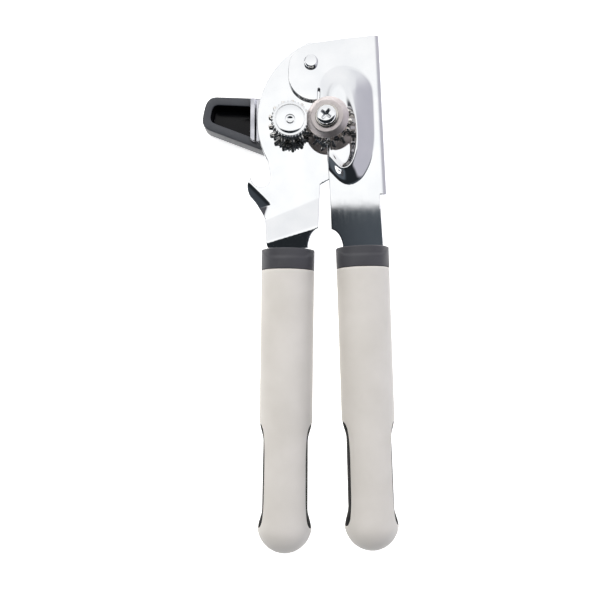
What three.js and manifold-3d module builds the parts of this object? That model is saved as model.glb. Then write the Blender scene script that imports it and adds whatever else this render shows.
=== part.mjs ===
// Manual can opener of the two-handle, squeeze-and-turn kind, with a bottle opener on its side.
// Millimetres. It lies on its back: +Z points up out of the working face, +Y from the handles to
// the head. The origin is on the crank's axis, at the outer face of the crank's cap, on which the
// head rests. A left lever carries the crank, the drive gear and the toothed feed wheel. A right
// lever, riveted on top of it, carries the cutting wheel and its gear, whose axis leans inwards.
import * as THREE from "three";
import { mergeVertices } from "three/addons/utils/BufferGeometryUtils.js";
import Module from "manifold-3d";

const wasm = await Module();
wasm.setup();

const degree = Math.PI / 180;

// ---------------------------------------------------------------- driving dimensions

const sheet = 1.6; // steel thickness of both levers
const leverGap = 0.2; // between the two levers where they cross
const fit = 0.1; // between pieces that are fixed together
const running = 0.15; // radial clearance of what turns

const knobDepth = 9.2; // crank knob, back to front
const knobLength = 75; // crank knob, tip to tip
const knobWidth = 24.6; // crank knob across its middle
const knobTipWidth = 12.4;
const knobWall = 2.8;
const capProud = 0.3; // the cap stands this far out of the knob's back
const knobToLever = 1.5;
const crankAngle = 168.5 * degree; // where the knob points at rest

const pivotX = 8.6;
const pivotY = 26.9;
const rivetRadius = 2.3;
const rivetHeadRadius = 2.95;
const rivetHeadHeight = 1.9;

const gearTeeth = 13;
const gearModule = 1.27;
const gearWidth = 3.2;
const gearClearance = 0.25; // from the lowest tooth of the leaning gear to the right lever's face
const cutterTilt = 12 * degree; // how far the cutting wheel's axis leans to the feed wheel

const feedRadius = 7.8;
const feedWidth = 2.6;
const feedTeeth = 34;
const feedToothDepth = 0.6;
const cutterThickness = 1.7;
const rimGap = 0.3; // between the cutting edge and the feed wheel's face
const rimOverlap = 1.25; // how far the cutting edge reaches over the feed wheel

const shaftRadius = 3;
const studRadius = 3.2;
const screwHeadRadius = 3.9;

const handleWidth = 21.3; // at the round end, the widest place
const handleDepth = 18.4;
const handleLength = 122.4; // collar top to round end
const collarLength = 9;
const sleeveWall = 2.2;
const tangWidth = 13;
const tangLength = 84;
const neckWidth = 16.6;
const leftHandleX = -1.1;
const leftHandleTopY = -51.7;
const rightHandleX = 30;
const rightHandleTopY = -50.7;
const leftSplay = -0.4 * degree;
const rightSplay = 1.5 * degree;

// ---------------------------------------------------------------- levels and places that follow

const knobBack = capProud;
const knobFront = knobBack + knobDepth;
const leftBack = knobFront + knobToLever;
const leftFront = leftBack + sheet;
const rightBack = leftFront + leverGap;
const rightFront = rightBack + sheet;
const tangMiddle = rightBack + sheet / 2;
const pitchRadius = (gearModule * gearTeeth) / 2;
const gearTip = pitchRadius + gearModule;
const gearLift =
  gearTip * Math.sin(cutterTilt) + (gearWidth / 2) * (Math.cos(cutterTilt) - 1) + gearClearance;
const gearBack = rightFront + gearLift;
const gearMiddle = gearBack + gearWidth / 2;
const gearFront = gearBack + gearWidth;
const feedBack = gearFront + fit;
const feedFront = feedBack + feedWidth;
const cutterX = 2 * pitchRadius;
const edgeLift = feedFront + rimGap - gearMiddle;
const cutterRadius =
  (cutterX - edgeLift * Math.tan(cutterTilt) - feedRadius + rimOverlap) * Math.cos(cutterTilt);
const joggle = rightBack - leftBack; // how far the left lever steps up to its handle

// ---------------------------------------------------------------- materials

const steel = new THREE.MeshStandardMaterial({ color: 0xe6e8ea, metalness: 1, roughness: 0.12 });
const darkSteel = new THREE.MeshStandardMaterial({ color: 0xb9b7b2, metalness: 1, roughness: 0.28 });
const gripPlastic = new THREE.MeshStandardMaterial({ color: 0xd2cdc5, metalness: 0, roughness: 0.6 });
const corePlastic = new THREE.MeshStandardMaterial({ color: 0x45444a, metalness: 0, roughness: 0.5 });
const knobPlastic = new THREE.MeshStandardMaterial({ color: 0x2b2c30, metalness: 0, roughness: 0.4 });

// ---------------------------------------------------------------- tools

// A closed three.js geometry as a solid that can be joined and cut.
function solid(geometry) {
  const bare = new THREE.BufferGeometry();
  bare.setAttribute("position", geometry.getAttribute("position"));
  if (geometry.index) bare.setIndex(geometry.index);
  const merged = mergeVertices(bare, 1e-4);
  const all = merged.index.array;
  const kept = [];
  for (let i = 0; i < all.length; i += 3) {
    const [a, b, c] = [all[i], all[i + 1], all[i + 2]];
    if (a !== b && b !== c && c !== a) kept.push(a, b, c);
  }
  const vertProperties = Float32Array.from(merged.attributes.position.array);
  const make = (triVerts) =>
    new wasm.Manifold(new wasm.Mesh({ numProp: 3, vertProperties, triVerts: Uint32Array.from(triVerts) }));
  const made = make(kept);
  return made.volume() < 0 ? make(kept.reverse()) : made;
}

function meshOf(name, made, material) {
  const { numProp, vertProperties, triVerts } = made.getMesh();
  const count = vertProperties.length / numProp;
  const places = new Float32Array(count * 3);
  for (let i = 0; i < count; i++) places.set(vertProperties.subarray(i * numProp, i * numProp + 3), i * 3);
  const geometry = new THREE.BufferGeometry();
  geometry.setAttribute("position", new THREE.BufferAttribute(places, 3));
  geometry.setIndex(new THREE.BufferAttribute(Uint32Array.from(triVerts), 1));
  const mesh = new THREE.Mesh(geometry, material);
  mesh.name = name;
  return mesh;
}

function extruded(shape, low, high, options = {}) {
  const geometry = new THREE.ExtrudeGeometry(shape, {
    depth: high - low,
    bevelEnabled: false,
    curveSegments: 12,
    ...options,
  });
  return geometry.translate(0, 0, low);
}

// A cylinder along Z; two radii make it a cone, and few sides make it a hexagon or a square.
function post(radius, low, high, sides = 32, topRadius = radius) {
  const geometry = new THREE.CylinderGeometry(topRadius, radius, high - low, sides);
  return solid(geometry.rotateX(Math.PI / 2).translate(0, 0, (low + high) / 2));
}

function block(x0, x1, y0, y1, z0, z1) {
  const geometry = new THREE.BoxGeometry(x1 - x0, y1 - y0, z1 - z0);
  return solid(geometry.translate((x0 + x1) / 2, (y0 + y1) / 2, (z0 + z1) / 2));
}

// A turned piece about Z, from [radius, height] pairs.
function turned(profile, sides = 26) {
  const points = profile.map(([radius, height]) => new THREE.Vector2(radius, height));
  return solid(new THREE.LatheGeometry(points, sides).rotateX(Math.PI / 2));
}

function outline(points) {
  return new THREE.Shape(points.map(([x, y]) => new THREE.Vector2(x, y)));
}

// ---------------------------------------------------------------- handles

// A handle's own frame: its axis is Y, its collar's top is at 0 and its round end is below.
const endRadius = handleWidth / 2;
const endCentre = -handleLength + endRadius;
const handleFlatten = handleDepth / handleWidth;
const windowTop = -collarLength - 63;
const windowBottom = endCentre + 1;
const waistDepth = 1.55;
const waistRun = 8; // length of each sloping end of the waist
const innerWindow = 5; // half height of the dark band that faces the other handle
const outerWindow = 3.4;

// Half profile from the round end up to `top`, moved inwards by `inset`.
function handleProfile(inset, top) {
  const points = [];
  const steps = 6;
  for (let i = 0; i <= steps; i++) {
    const turn = (i / steps) * 90 * degree;
    const radius = endRadius - inset;
    points.push([radius * Math.sin(turn), endCentre - radius * Math.cos(turn)]);
  }
  points.push([endRadius - 0.3 - inset, windowTop]);
  points.push([endRadius - 0.35 - inset, -collarLength]);
  if (top > -collarLength) points.push([endRadius - 0.25 - inset, top]);
  else points[points.length - 1][1] = top;
  return points;
}

function handleTurned(profile) {
  const points = profile.map(([radius, along]) => new THREE.Vector2(radius, along));
  return solid(new THREE.LatheGeometry(points, 28).scale(1, 1, handleFlatten));
}

function closedProfile(inset, top) {
  return [...handleProfile(inset, top), [0, top]];
}

// The hollow on one side of the waist; side is 1 or -1, and grow moves its wall outwards.
function scoop(side, grow) {
  const edge = endRadius - waistDepth - 0.3 + grow;
  const outside = endRadius + 4;
  const shape = new THREE.Shape();
  shape.moveTo(outside * side, windowTop);
  shape.lineTo((edge + waistDepth) * side, windowTop);
  shape.bezierCurveTo(
    (edge + waistDepth * 0.6) * side, windowTop - waistRun * 0.35,
    edge * side, windowTop - waistRun * 0.6,
    edge * side, windowTop - waistRun,
  );
  shape.lineTo(edge * side, windowBottom + waistRun);
  shape.bezierCurveTo(
    edge * side, windowBottom + waistRun * 0.6,
    (edge + waistDepth * 0.6) * side, windowBottom + waistRun * 0.35,
    (edge + waistDepth + 0.3) * side, windowBottom,
  );
  shape.lineTo(outside * side, windowBottom);
  return solid(extruded(shape, -handleDepth, handleDepth, { curveSegments: 3 }));
}

// The opening in the sleeve on one side, as a bar along X; shrink leaves room around what fills it.
function sideWindow(side, halfHeight, shrink) {
  const top = windowTop - shrink;
  const bottom = windowBottom + shrink;
  const half = halfHeight - shrink;
  const shape = new THREE.Shape();
  shape.moveTo(top, 0);
  shape.quadraticCurveTo(top - 1, half, top - waistRun, half);
  shape.lineTo(bottom + waistRun, half);
  shape.quadraticCurveTo(bottom + 1, half, bottom, 0);
  shape.quadraticCurveTo(bottom + 1, -half, bottom + waistRun, -half);
  shape.lineTo(top - waistRun, -half);
  shape.quadraticCurveTo(top - 1, -half, top, 0);
  const turn = new THREE.Matrix4().makeBasis(
    new THREE.Vector3(0, 1, 0),
    new THREE.Vector3(0, 0, 1),
    new THREE.Vector3(1, 0, 0),
  );
  const start = side > 0 ? 2 : -endRadius - 4;
  return solid(extruded(shape, start, start + endRadius + 2, { curveSegments: 3 }).applyMatrix4(turn));
}

// innerSide is 1 where the other handle is on +X.
function makeHandle(name, innerSide) {
  const halfHeight = (side) => (side === innerSide ? innerWindow : outerWindow);
  const sleeveTop = -collarLength - fit;
  const coreInset = sleeveWall + fit;
  const coreTop = -collarLength + 2;

  let sleeve = handleTurned(closedProfile(0, sleeveTop));
  let pads = handleTurned(closedProfile(fit, sleeveTop - 1));
  let windows = null;
  for (const side of [1, -1]) {
    sleeve = sleeve.subtract(scoop(side, 0));
    pads = pads.subtract(scoop(side, -fit));
    const opening = sideWindow(side, halfHeight(side), 0);
    const filler = sideWindow(side, halfHeight(side), fit);
    sleeve = sleeve.subtract(opening);
    windows = windows ? windows.add(filler) : filler;
  }
  sleeve = sleeve.subtract(handleTurned(closedProfile(sleeveWall, sleeveTop + 3)));

  const collar = handleTurned([
    [0, -collarLength],
    [endRadius - 0.35, -collarLength],
    [endRadius - 0.25, -1.2],
    [endRadius - 0.8, -0.3],
    [endRadius - 1.6, 0],
    [0, 0],
  ]);
  const slotHalf = tangWidth / 2 + 2 * fit;
  const slot = block(
    -slotHalf, slotHalf, -tangLength - 1, 2,
    -sheet / 2 - 2 * fit, sheet / 2 + 2 * fit,
  );
  const core = handleTurned(closedProfile(coreInset, coreTop))
    .add(collar)
    .add(pads.intersect(windows))
    .subtract(slot);
  return [
    meshOf(`${name}_handle_core`, core, corePlastic),
    meshOf(`${name}_grip_sleeve`, sleeve, gripPlastic),
  ];
}

function placeHandle(name, x, y, splay, innerSide) {
  const group = new THREE.Group();
  group.position.set(x, y, tangMiddle);
  group.rotation.z = splay;
  group.add(...makeHandle(name, innerSide));
  return group;
}

// The strip of steel inside a handle, from just above the collar down.
function tang(x, y, splay) {
  const shape = outline([
    [-tangWidth / 2, 2],
    [-tangWidth / 2, -tangLength],
    [tangWidth / 2, -tangLength],
    [tangWidth / 2, 2],
  ]);
  const geometry = extruded(shape, rightBack, rightBack + sheet);
  return solid(geometry.rotateZ(splay).translate(x, y, 0));
}

// ---------------------------------------------------------------- left lever

const headCentreX = 23; // centre of the long round edge of the left lever's head
const headCentreY = 2.8;
const headRadius = 36.9;
const bendTilt = 20 * degree; // the step up to the handle runs across the lever at this angle
const bendRun = 11.3;
const bendY = -34.4; // where the step starts, on the line x = 0
const mouthX = -8.5; // bottle opener: inner wall, floor and tip of its mouth
const mouthFloorY = -25.4;
const hookTipX = -16.6;
const hookTipY = -21.4;
const hookDrop = 38 * degree; // slope of the hook's lip
const shoulderGap = 0.4; // from the neck's end to the collar
const neckFillet = 7;

function leftLever() {
  const neckBottom = leftHandleTopY + shoulderGap;
  const neckLeft = leftHandleX - neckWidth / 2;
  const neckRight = leftHandleX + neckWidth / 2;
  const edge = neckRight + 4.4;
  const mouthTop = 208.5 * degree;
  const plan = new THREE.Shape();
  plan.moveTo(neckLeft, neckBottom);
  plan.lineTo(neckRight, neckBottom);
  plan.quadraticCurveTo(neckRight + 0.6, neckBottom + neckFillet, edge, neckBottom + neckFillet + 1.3);
  plan.lineTo(edge + 0.9, -24.6);
  plan.lineTo(cutterX + 1.5, -21.5);
  plan.lineTo(cutterX + 3.5, 0);
  plan.lineTo(pivotX + 9.6, pivotY - 4);
  plan.absarc(pivotX, pivotY, 9.5, -22 * degree, 78 * degree, false);
  plan.absarc(headCentreX, headCentreY, headRadius, 113.5 * degree, mouthTop, false);
  plan.lineTo(mouthX, mouthFloorY + 4.5);
  plan.quadraticCurveTo(mouthX, mouthFloorY, mouthX - 4, mouthFloorY);
  plan.quadraticCurveTo(hookTipX + 1.2, mouthFloorY, hookTipX, hookTipY);
  plan.lineTo(hookTipX - 1.3, hookTipY - 2.4);
  plan.lineTo(mouthX - 0.3, -33.2);
  plan.lineTo(neckLeft - 1, -39.2);
  const planSolid = solid(extruded(plan, 0, 40, { curveSegments: 24 }));

  // The side view of the sheet, swept along the slanted bends.
  const rise = bendRun;
  const side = outline([
    [60, leftBack],
    [0, leftBack],
    [-rise, leftBack + joggle],
    [-rise - 30, leftBack + joggle],
    [-rise - 30, leftBack + joggle + sheet],
    [-rise, leftBack + joggle + sheet],
    [0, leftFront],
    [60, leftFront],
  ]);
  const turn = new THREE.Matrix4().makeBasis(
    new THREE.Vector3(-Math.sin(bendTilt), Math.cos(bendTilt), 0),
    new THREE.Vector3(0, 0, 1),
    new THREE.Vector3(Math.cos(bendTilt), Math.sin(bendTilt), 0),
  );
  const sweep = extruded(side, -60, 60).applyMatrix4(turn).translate(0, bendY, 0);
  const shaped = solid(sweep).intersect(planSolid);

  // The hook's lip: a flat tongue turned down about the line from the hook's tip.
  const lipLength = 13;
  const lip = new THREE.Shape();
  lip.moveTo(-0.2, 0.4);
  lip.lineTo(-0.2, -0.2);
  lip.bezierCurveTo(1.5, -2.6, 4, -3.4, 7.4, -3.5);
  lip.lineTo(lipLength + 1.6, -6.4);
  lip.lineTo(lipLength, 0.4);
  const lipSolid = solid(
    extruded(lip, -sheet, 0, { curveSegments: 6 })
      .rotateX(hookDrop)
      .rotateZ(-45 * degree)
      .translate(hookTipX - 1.3, hookTipY - 2.4, leftFront),
  ).subtract(block(-60, 60, -60, 60, -20, knobFront + 0.6));

  // A tab stepped down behind the round edge: the bottle cap's crown bears on it.
  const tabTop = 12.8;
  const tabBottom = -5.8;
  const tab = outline([
    [-16.9, tabTop],
    [-11.5, tabTop],
    [-11.5, tabBottom],
    [-16, tabBottom],
    [-16.9, tabBottom + 1.2],
  ]);
  const tabSolid = solid(extruded(tab, leftBack - 1.1, leftBack + 0.3));

  return shaped
    .add(lipSolid)
    .add(tabSolid)
    .add(tang(leftHandleX, leftHandleTopY, leftSplay))
    .subtract(post(bushingRadius + fit, 0, 40))
    .subtract(post(rivetRadius + running, 0, 40).translate([pivotX, pivotY, 0]));
}

// ---------------------------------------------------------------- right lever

// The pressed dome around the cutting wheel's gear: a squarish oval ridge round a tilted floor.
const domeX = cutterX + 8.5;
const domeY = 0;
const domeHalfX = 9.8;
const domeHalfY = 24;
const domeSquareness = 2.5; // 2 is an ellipse
const pocketX = cutterX + 1; // the floor's oval
const pocketY = -1;
const pocketHalfX = 10.4;
const pocketHalfY = 18;
const ridgeAboveFloor = 1.3;
const seatBelowGear = 0.5; // room for the thrust washer
const bulgeX = cutterX - 0.2; // round end of the sheet behind the two gears
const bulgeY = -1.4;
const bulgeRadius = 6.9;
const lobeX = pivotX + 1.3;
const lobeY = pivotY - 5.5;
const lobeRadius = 10.8;
const notchX = 11.4; // relief slit where the lobe meets the dome
const headTopY = 38.2;
const headRightX = 37; // flat part of the head, at its top
const rightLean = 2 * degree; // the right edge leans out towards the handle
const flangeDepth = 4.1;
const flangeBottomY = -29.2;
const bendRadius = 2.1; // outside

function smooth(t) {
  const c = Math.min(1, Math.max(0, t));
  return c * c * (3 - 2 * c);
}

// Height of the pressed sheet above the flat one at a place.
function pressed(x, y) {
  const across = Math.abs((x - domeX) / domeHalfX) ** domeSquareness;
  const along = Math.abs((y - domeY) / domeHalfY) ** domeSquareness;
  const outer = (across + along) ** (1 / domeSquareness);
  const inner = Math.hypot((x - pocketX) / pocketHalfX, (y - pocketY) / pocketHalfY);
  const seat = gearLift - seatBelowGear - fit + (x - cutterX) * Math.tan(cutterTilt);
  const floor = Math.max(0, seat);
  const crest = floor + ridgeAboveFloor * smooth((x - cutterX + 6) / 8);
  const ridge = crest * smooth((1 - outer) / 0.42);
  const wall = smooth((inner - 1) / 0.1);
  return wall * ridge + (1 - wall) * floor * smooth((1 - outer) / 0.2);
}

function dome() {
  const across = 14;
  const along = 22;
  const geometry = new THREE.BoxGeometry(
    2 * domeHalfX + 1, 2 * domeHalfY + 1, sheet, across, along, 1,
  ).translate(domeX, domeY, rightBack + sheet / 2);
  const places = geometry.getAttribute("position");
  for (let i = 0; i < places.count; i++) {
    places.setZ(i, places.getZ(i) + pressed(places.getX(i), places.getY(i)));
  }
  return solid(geometry);
}

// The dome's outline, made larger by grow.
function domePlan(grow) {
  const points = [];
  for (let i = 0; i < 48; i++) {
    const turn = (i / 24) * Math.PI;
    const share = (value) => Math.sign(value) * Math.abs(value) ** (2 / domeSquareness);
    points.push([
      domeX + (domeHalfX + grow) * share(Math.cos(turn)),
      domeY + (domeHalfY + grow) * share(Math.sin(turn)),
    ]);
  }
  return solid(extruded(outline(points), 0, 60));
}

function rightLever() {
  const neckBottom = rightHandleTopY + shoulderGap;
  const neckLeft = rightHandleX - neckWidth / 2;
  const neckRight = rightHandleX + neckWidth / 2;
  const edgeAt = (y) => headRightX + (headTopY - y) * Math.tan(rightLean);
  const plan = new THREE.Shape();
  plan.moveTo(neckLeft, neckBottom);
  plan.lineTo(neckRight, neckBottom);
  plan.lineTo(edgeAt(flangeBottomY) - bendRadius, flangeBottomY);
  plan.lineTo(edgeAt(headTopY) - bendRadius, headTopY);
  plan.lineTo(pivotX + 2, pivotY + 8.5);
  plan.bezierCurveTo(pivotX - 4, pivotY + 7.6, pivotX - 9, pivotY + 4.8, pivotX - 9.4, pivotY);
  plan.absarc(lobeX, lobeY, lobeRadius, 165 * degree, 273 * degree, false);
  plan.lineTo(notchX, lobeY - lobeRadius + 1.6);
  plan.lineTo(notchX, lobeY - lobeRadius + 4.9);
  plan.lineTo(notchX + 0.8, lobeY - lobeRadius + 4.9);
  plan.lineTo(notchX + 0.6, lobeY - lobeRadius + 1.6);
  plan.lineTo(cutterX - 5.8, 5.2);
  plan.absarc(bulgeX, bulgeY, bulgeRadius, 140 * degree, 262 * degree, false);
  plan.lineTo(cutterX + 0.4, neckBottom + neckFillet + 0.6);
  plan.quadraticCurveTo(neckLeft - 0.6, neckBottom + neckFillet, neckLeft, neckBottom);
  const planSolid = solid(extruded(plan, 0, 60, { curveSegments: 16 }));
  const flat = solid(extruded(plan, rightBack, rightFront, { curveSegments: 16 }));

  // The turned-back flange: a quarter bend and a short wall, along the leaning right edge.
  const length = (headTopY - flangeBottomY) / Math.cos(rightLean);
  const bend = new THREE.Shape();
  bend.moveTo(-0.3, 0);
  bend.lineTo(0, 0);
  bend.absarc(0, -bendRadius, bendRadius, 90 * degree, 0, true);
  bend.lineTo(bendRadius, -flangeDepth);
  bend.lineTo(bendRadius - sheet, -flangeDepth);
  bend.lineTo(bendRadius - sheet, -bendRadius);
  bend.absarc(0, -bendRadius, bendRadius - sheet, 0, 90 * degree, false);
  bend.lineTo(-0.3, -sheet);
  const flange = solid(
    extruded(bend, 0, length, { curveSegments: 6 })
      .rotateX(90 * degree)
      .translate(0, 0, rightFront)
      .rotateZ(rightLean)
      .translate(edgeAt(headTopY) - bendRadius, headTopY, 0),
  );

  const studHole = post(studShank + fit, -20, 20);
  return flat
    .subtract(domePlan(0))
    .add(dome().intersect(domePlan(0.3)).intersect(planSolid))
    .add(flange)
    .add(tang(rightHandleX, rightHandleTopY, rightSplay))
    .subtract(post(rivetRadius + running, 0, 40).translate([pivotX, pivotY, 0]))
    .subtract(studHole.rotate([0, -cutterTilt / degree, 0]).translate([cutterX, 0, gearMiddle]));
}

// ---------------------------------------------------------------- pivot

const backHeadHeight = 1;
const backHeadRadius = 3.6;

// One rivet with a domed head in front and a flat one behind; it is fixed in neither lever.
function pivotRivet() {
  const front = rightFront + fit;
  const back = leftBack - fit;
  return turned([
    [0, back - backHeadHeight],
    [backHeadRadius - 0.3, back - backHeadHeight],
    [backHeadRadius, back - backHeadHeight + 0.3],
    [backHeadRadius, back],
    [rivetRadius, back],
    [rivetRadius, front],
    [rivetHeadRadius, front],
    [rivetHeadRadius, front + rivetHeadHeight * 0.45],
    [rivetHeadRadius * 0.78, front + rivetHeadHeight * 0.85],
    [rivetHeadRadius * 0.4, front + rivetHeadHeight],
    [0, front + rivetHeadHeight],
  ], 28);
}

// ---------------------------------------------------------------- gears

// Straight-flanked teeth with plenty of clearance, one tooth on +X.
function gearShape() {
  const step = (2 * Math.PI) / gearTeeth;
  const root = pitchRadius - 1.5 * gearModule;
  const flank = [[-0.29, root], [-0.2, pitchRadius], [-0.085, gearTip]];
  const mirrored = flank.map(([share, radius]) => [-share, radius]).reverse();
  const points = [];
  for (let tooth = 0; tooth < gearTeeth; tooth++) {
    for (const [share, radius] of [...flank, ...mirrored]) {
      const turn = (tooth + share) * step;
      points.push([radius * Math.cos(turn), radius * Math.sin(turn)]);
    }
  }
  return outline(points);
}

const hexRadius = (shaftRadius - fit / 2) / Math.cos(30 * degree); // to its corners

function driveGear() {
  return solid(extruded(gearShape(), gearBack, gearFront))
    .subtract(post(hexRadius + fit, 0, 60, 6));
}

// ---------------------------------------------------------------- crank and feed wheel

const bushingRadius = shaftRadius + 1.4;
const shoulderRadius = bushingRadius + 1.2;
const insertLength = 21;
const insertWidth = 9;
const insertThickness = 2;
const insertBack = knobFront - insertThickness;
const capRadius = 8;
const capThickness = 1.5;
const shaftHeadRadius = shaftRadius + 0.6;
const squareRadius = shaftRadius + 0.2; // the shaft's square end, to its corners
const crankWasherRadius = shaftRadius + 3.5;
const feedRingRadius = shaftRadius + 2.8; // dished washer in the feed wheel's face

// A flanged bush, pressed into the left lever, in which the crank shaft turns.
function shaftBushing() {
  return turned([
    [shaftRadius + running, leftBack + fit],
    [bushingRadius, leftBack + fit],
    [bushingRadius, leftFront + fit],
    [shoulderRadius, leftFront + fit],
    [shoulderRadius, gearBack - running],
    [shaftRadius + running, gearBack - running],
    [shaftRadius + running, leftBack + fit],
  ]);
}

function crankShaft() {
  const insertHead = insertBack - fit;
  const round = turned([
    [0, insertHead - 1.2],
    [shaftHeadRadius, insertHead - 1.2],
    [shaftHeadRadius, insertHead],
    [shaftRadius - 1, insertHead],
    [shaftRadius - 1, knobFront],
    [shaftRadius, knobFront],
    [shaftRadius, feedFront + 0.9],
    [1.9, feedFront + 1.3],
    [1.1, feedFront + 1.3],
    [0.8, feedFront + 0.7],
    [0, feedFront + 0.7],
  ]);
  return round
    .add(post(squareRadius, insertHead - 0.2, knobFront - fit, 4).rotate([0, 0, crankAngle / degree]))
    .add(post(hexRadius, gearBack, feedFront - 0.4, 6));
}

function crankWasher() {
  const low = knobFront + fit;
  const high = leftBack - running;
  return turned([
    [shaftRadius + running, low],
    [crankWasherRadius, low],
    [crankWasherRadius, high - 0.4],
    [crankWasherRadius - 0.4, high],
    [shaftRadius + running, high],
    [shaftRadius + running, low],
  ]);
}

function feedWheel() {
  const points = [];
  for (let i = 0; i < 2 * feedTeeth; i++) {
    const radius = i % 2 ? feedRadius - feedToothDepth : feedRadius;
    const turn = (i / feedTeeth) * Math.PI;
    points.push([radius * Math.cos(turn), radius * Math.sin(turn)]);
  }
  return solid(extruded(outline(points), feedBack, feedFront))
    .subtract(post(hexRadius + fit, 0, 60, 6))
    .subtract(post(feedRingRadius + fit, feedFront - 0.4, 60));
}

function feedWheelWasher() {
  return turned([
    [shaftRadius + fit, feedFront - 0.3],
    [feedRingRadius, feedFront - 0.3],
    [feedRingRadius, feedFront],
    [feedRingRadius - 0.5, feedFront + 0.35],
    [shaftRadius + fit, feedFront + 0.35],
    [shaftRadius + fit, feedFront - 0.3],
  ]);
}

// The knob's outline: a long hexagon whose corners are rounded; inset shrinks it.
function knobShape(inset) {
  const halfLength = knobLength / 2 - inset;
  const halfMiddle = knobWidth / 2 - inset;
  const halfTip = knobTipWidth / 2 - inset * 0.85;
  const round = 4.6 - inset * 0.6;
  const shape = new THREE.Shape();
  shape.moveTo(halfLength, -halfTip + round);
  for (const side of [1, -1]) {
    shape.lineTo(halfLength * side, (halfTip - round) * side);
    shape.quadraticCurveTo(
      halfLength * side, halfTip * side, (halfLength - round) * side, (halfTip + 0.6) * side,
    );
    shape.lineTo(5 * side, (halfMiddle - 0.9) * side);
    shape.quadraticCurveTo(0, (halfMiddle + 0.1) * side, -5 * side, (halfMiddle - 0.9) * side);
    shape.lineTo((round - halfLength) * side, (halfTip + 0.6) * side);
    shape.quadraticCurveTo(
      -halfLength * side, halfTip * side, -halfLength * side, (halfTip - round) * side,
    );
  }
  return shape;
}

// Two hollow wings, open towards the lever, with a solid hub between them.
function crankKnob() {
  const floor = 2.6;
  const hubHalf = insertLength / 2 + 1.5;
  const rounding = 1.5;
  const body = solid(
    extruded(knobShape(rounding), knobBack + rounding, knobFront + rounding, {
      bevelEnabled: true,
      bevelThickness: rounding,
      bevelSize: rounding,
      bevelSegments: 2,
      curveSegments: 4,
    }),
  );
  const hollow = solid(extruded(knobShape(knobWall), knobBack + floor, 40, { curveSegments: 4 }))
    .subtract(block(-hubHalf, hubHalf, -40, 40, 0, 60));
  return body
    .subtract(block(-60, 60, -60, 60, knobFront, 60))
    .subtract(hollow)
    .subtract(block(
      -insertLength / 2 - fit, insertLength / 2 + fit,
      -insertWidth / 2 - fit, insertWidth / 2 + fit,
      insertBack - fit, 60,
    ))
    .subtract(post(shaftHeadRadius + 0.6, knobBack + 1.4, insertBack))
    .subtract(post(capRadius + fit, -1, capThickness + fit));
}

function crankInsertPlate() {
  return block(
    -insertLength / 2, insertLength / 2, -insertWidth / 2, insertWidth / 2,
    insertBack, knobFront,
  ).subtract(post(squareRadius + 1.5 * fit, 0, 60, 4));
}

function crankCap() {
  return turned([
    [0, 0],
    [capRadius - 1, 0],
    [capRadius, 0.6],
    [capRadius, capThickness],
    [0, capThickness],
  ]);
}

// ---------------------------------------------------------------- cutting wheel group

// Its own frame: Z is the leaning axis, and 0 is the middle of its gear.
const cutterEdge = (edgeLift + cutterRadius * Math.sin(cutterTilt)) / Math.cos(cutterTilt);
const cutterHubRadius = 5.2;
const cutterHexRadius = cutterHubRadius - 0.6; // drives the cutting wheel
const seatLevel = -gearWidth / 2 - seatBelowGear;
const studShank = 2.2;
const cutterTop = cutterEdge + cutterThickness;
const washerThickness = 0.5;

function cutterThrustWasher() {
  return turned([
    [studRadius + running, seatLevel + fit / 2],
    [5, seatLevel + fit / 2],
    [5, -gearWidth / 2 - fit],
    [studRadius + running, -gearWidth / 2 - fit],
    [studRadius + running, seatLevel + fit / 2],
  ], 32);
}

function cutterGear() {
  return solid(extruded(gearShape(), -gearWidth / 2, gearWidth / 2))
    .add(post(cutterHubRadius, 0, cutterEdge - 0.4))
    .add(post(cutterHexRadius, 0, cutterEdge + 1, 6))
    .subtract(post(studRadius + running, -20, 20));
}

// A hardened disc, flat towards the feed wheel and ground to a cone in front.
function cuttingWheel() {
  return turned([
    [0, cutterEdge],
    [cutterRadius, cutterEdge],
    [cutterRadius - 0.1, cutterEdge + 0.15],
    [cutterHubRadius + 0.5, cutterTop - 0.15],
    [cutterHubRadius, cutterTop],
    [0, cutterTop],
  ], 48)
    .subtract(post(cutterHexRadius + fit, cutterEdge - 1, cutterEdge + 1 + fit, 6))
    .subtract(post(studRadius + running, -20, 20));
}

// The fixed stud that the gear and the cutting wheel turn on, riveted through the lever.
function cutterStud() {
  const shankBottom = seatLevel - sheet * Math.cos(cutterTilt) + fit;
  return turned([
    [0, shankBottom],
    [studShank, shankBottom],
    [studShank, seatLevel],
    [studRadius, seatLevel],
    [studRadius, cutterTop + fit],
    [1.75, cutterTop + fit],
    [1.75, cutterTop - 6.4],
    [0, cutterTop - 6.4],
  ], 28);
}

function cutterWasher() {
  const low = cutterTop + 2 * fit;
  return turned([
    [1.9, low],
    [cutterHexRadius, low],
    [cutterHexRadius, low + washerThickness],
    [1.9, low + washerThickness],
    [1.9, low],
  ], 32);
}

// Pan head with a cross recess.
function cutterScrew() {
  const seat = cutterTop + 3 * fit + washerThickness;
  const headHeight = 1.7;
  const recess = 1.2;
  const body = turned([
    [0, seat - 6],
    [1.2, seat - 6],
    [1.6, seat - 5.5],
    [1.6, seat],
    [screwHeadRadius, seat],
    [screwHeadRadius, seat + 0.7],
    [screwHeadRadius - 0.9, seat + 1.4],
    [screwHeadRadius - 2.2, seat + headHeight],
    [0, seat + headHeight],
  ], 28);
  const arm = [-2.2, 2.2, -0.55, 0.55, seat + headHeight - recess, seat + 5];
  const cross = block(...arm).add(block(...arm).rotate([0, 0, 90]));
  return body.subtract(cross.rotate([0, 0, 25]));
}

// ---------------------------------------------------------------- the opener

const opener = new THREE.Group();

opener.add(meshOf("left_lever", leftLever(), steel));
opener.add(placeHandle("left", leftHandleX, leftHandleTopY, leftSplay, 1));
opener.add(meshOf("shaft_bushing", shaftBushing(), darkSteel));

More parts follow.
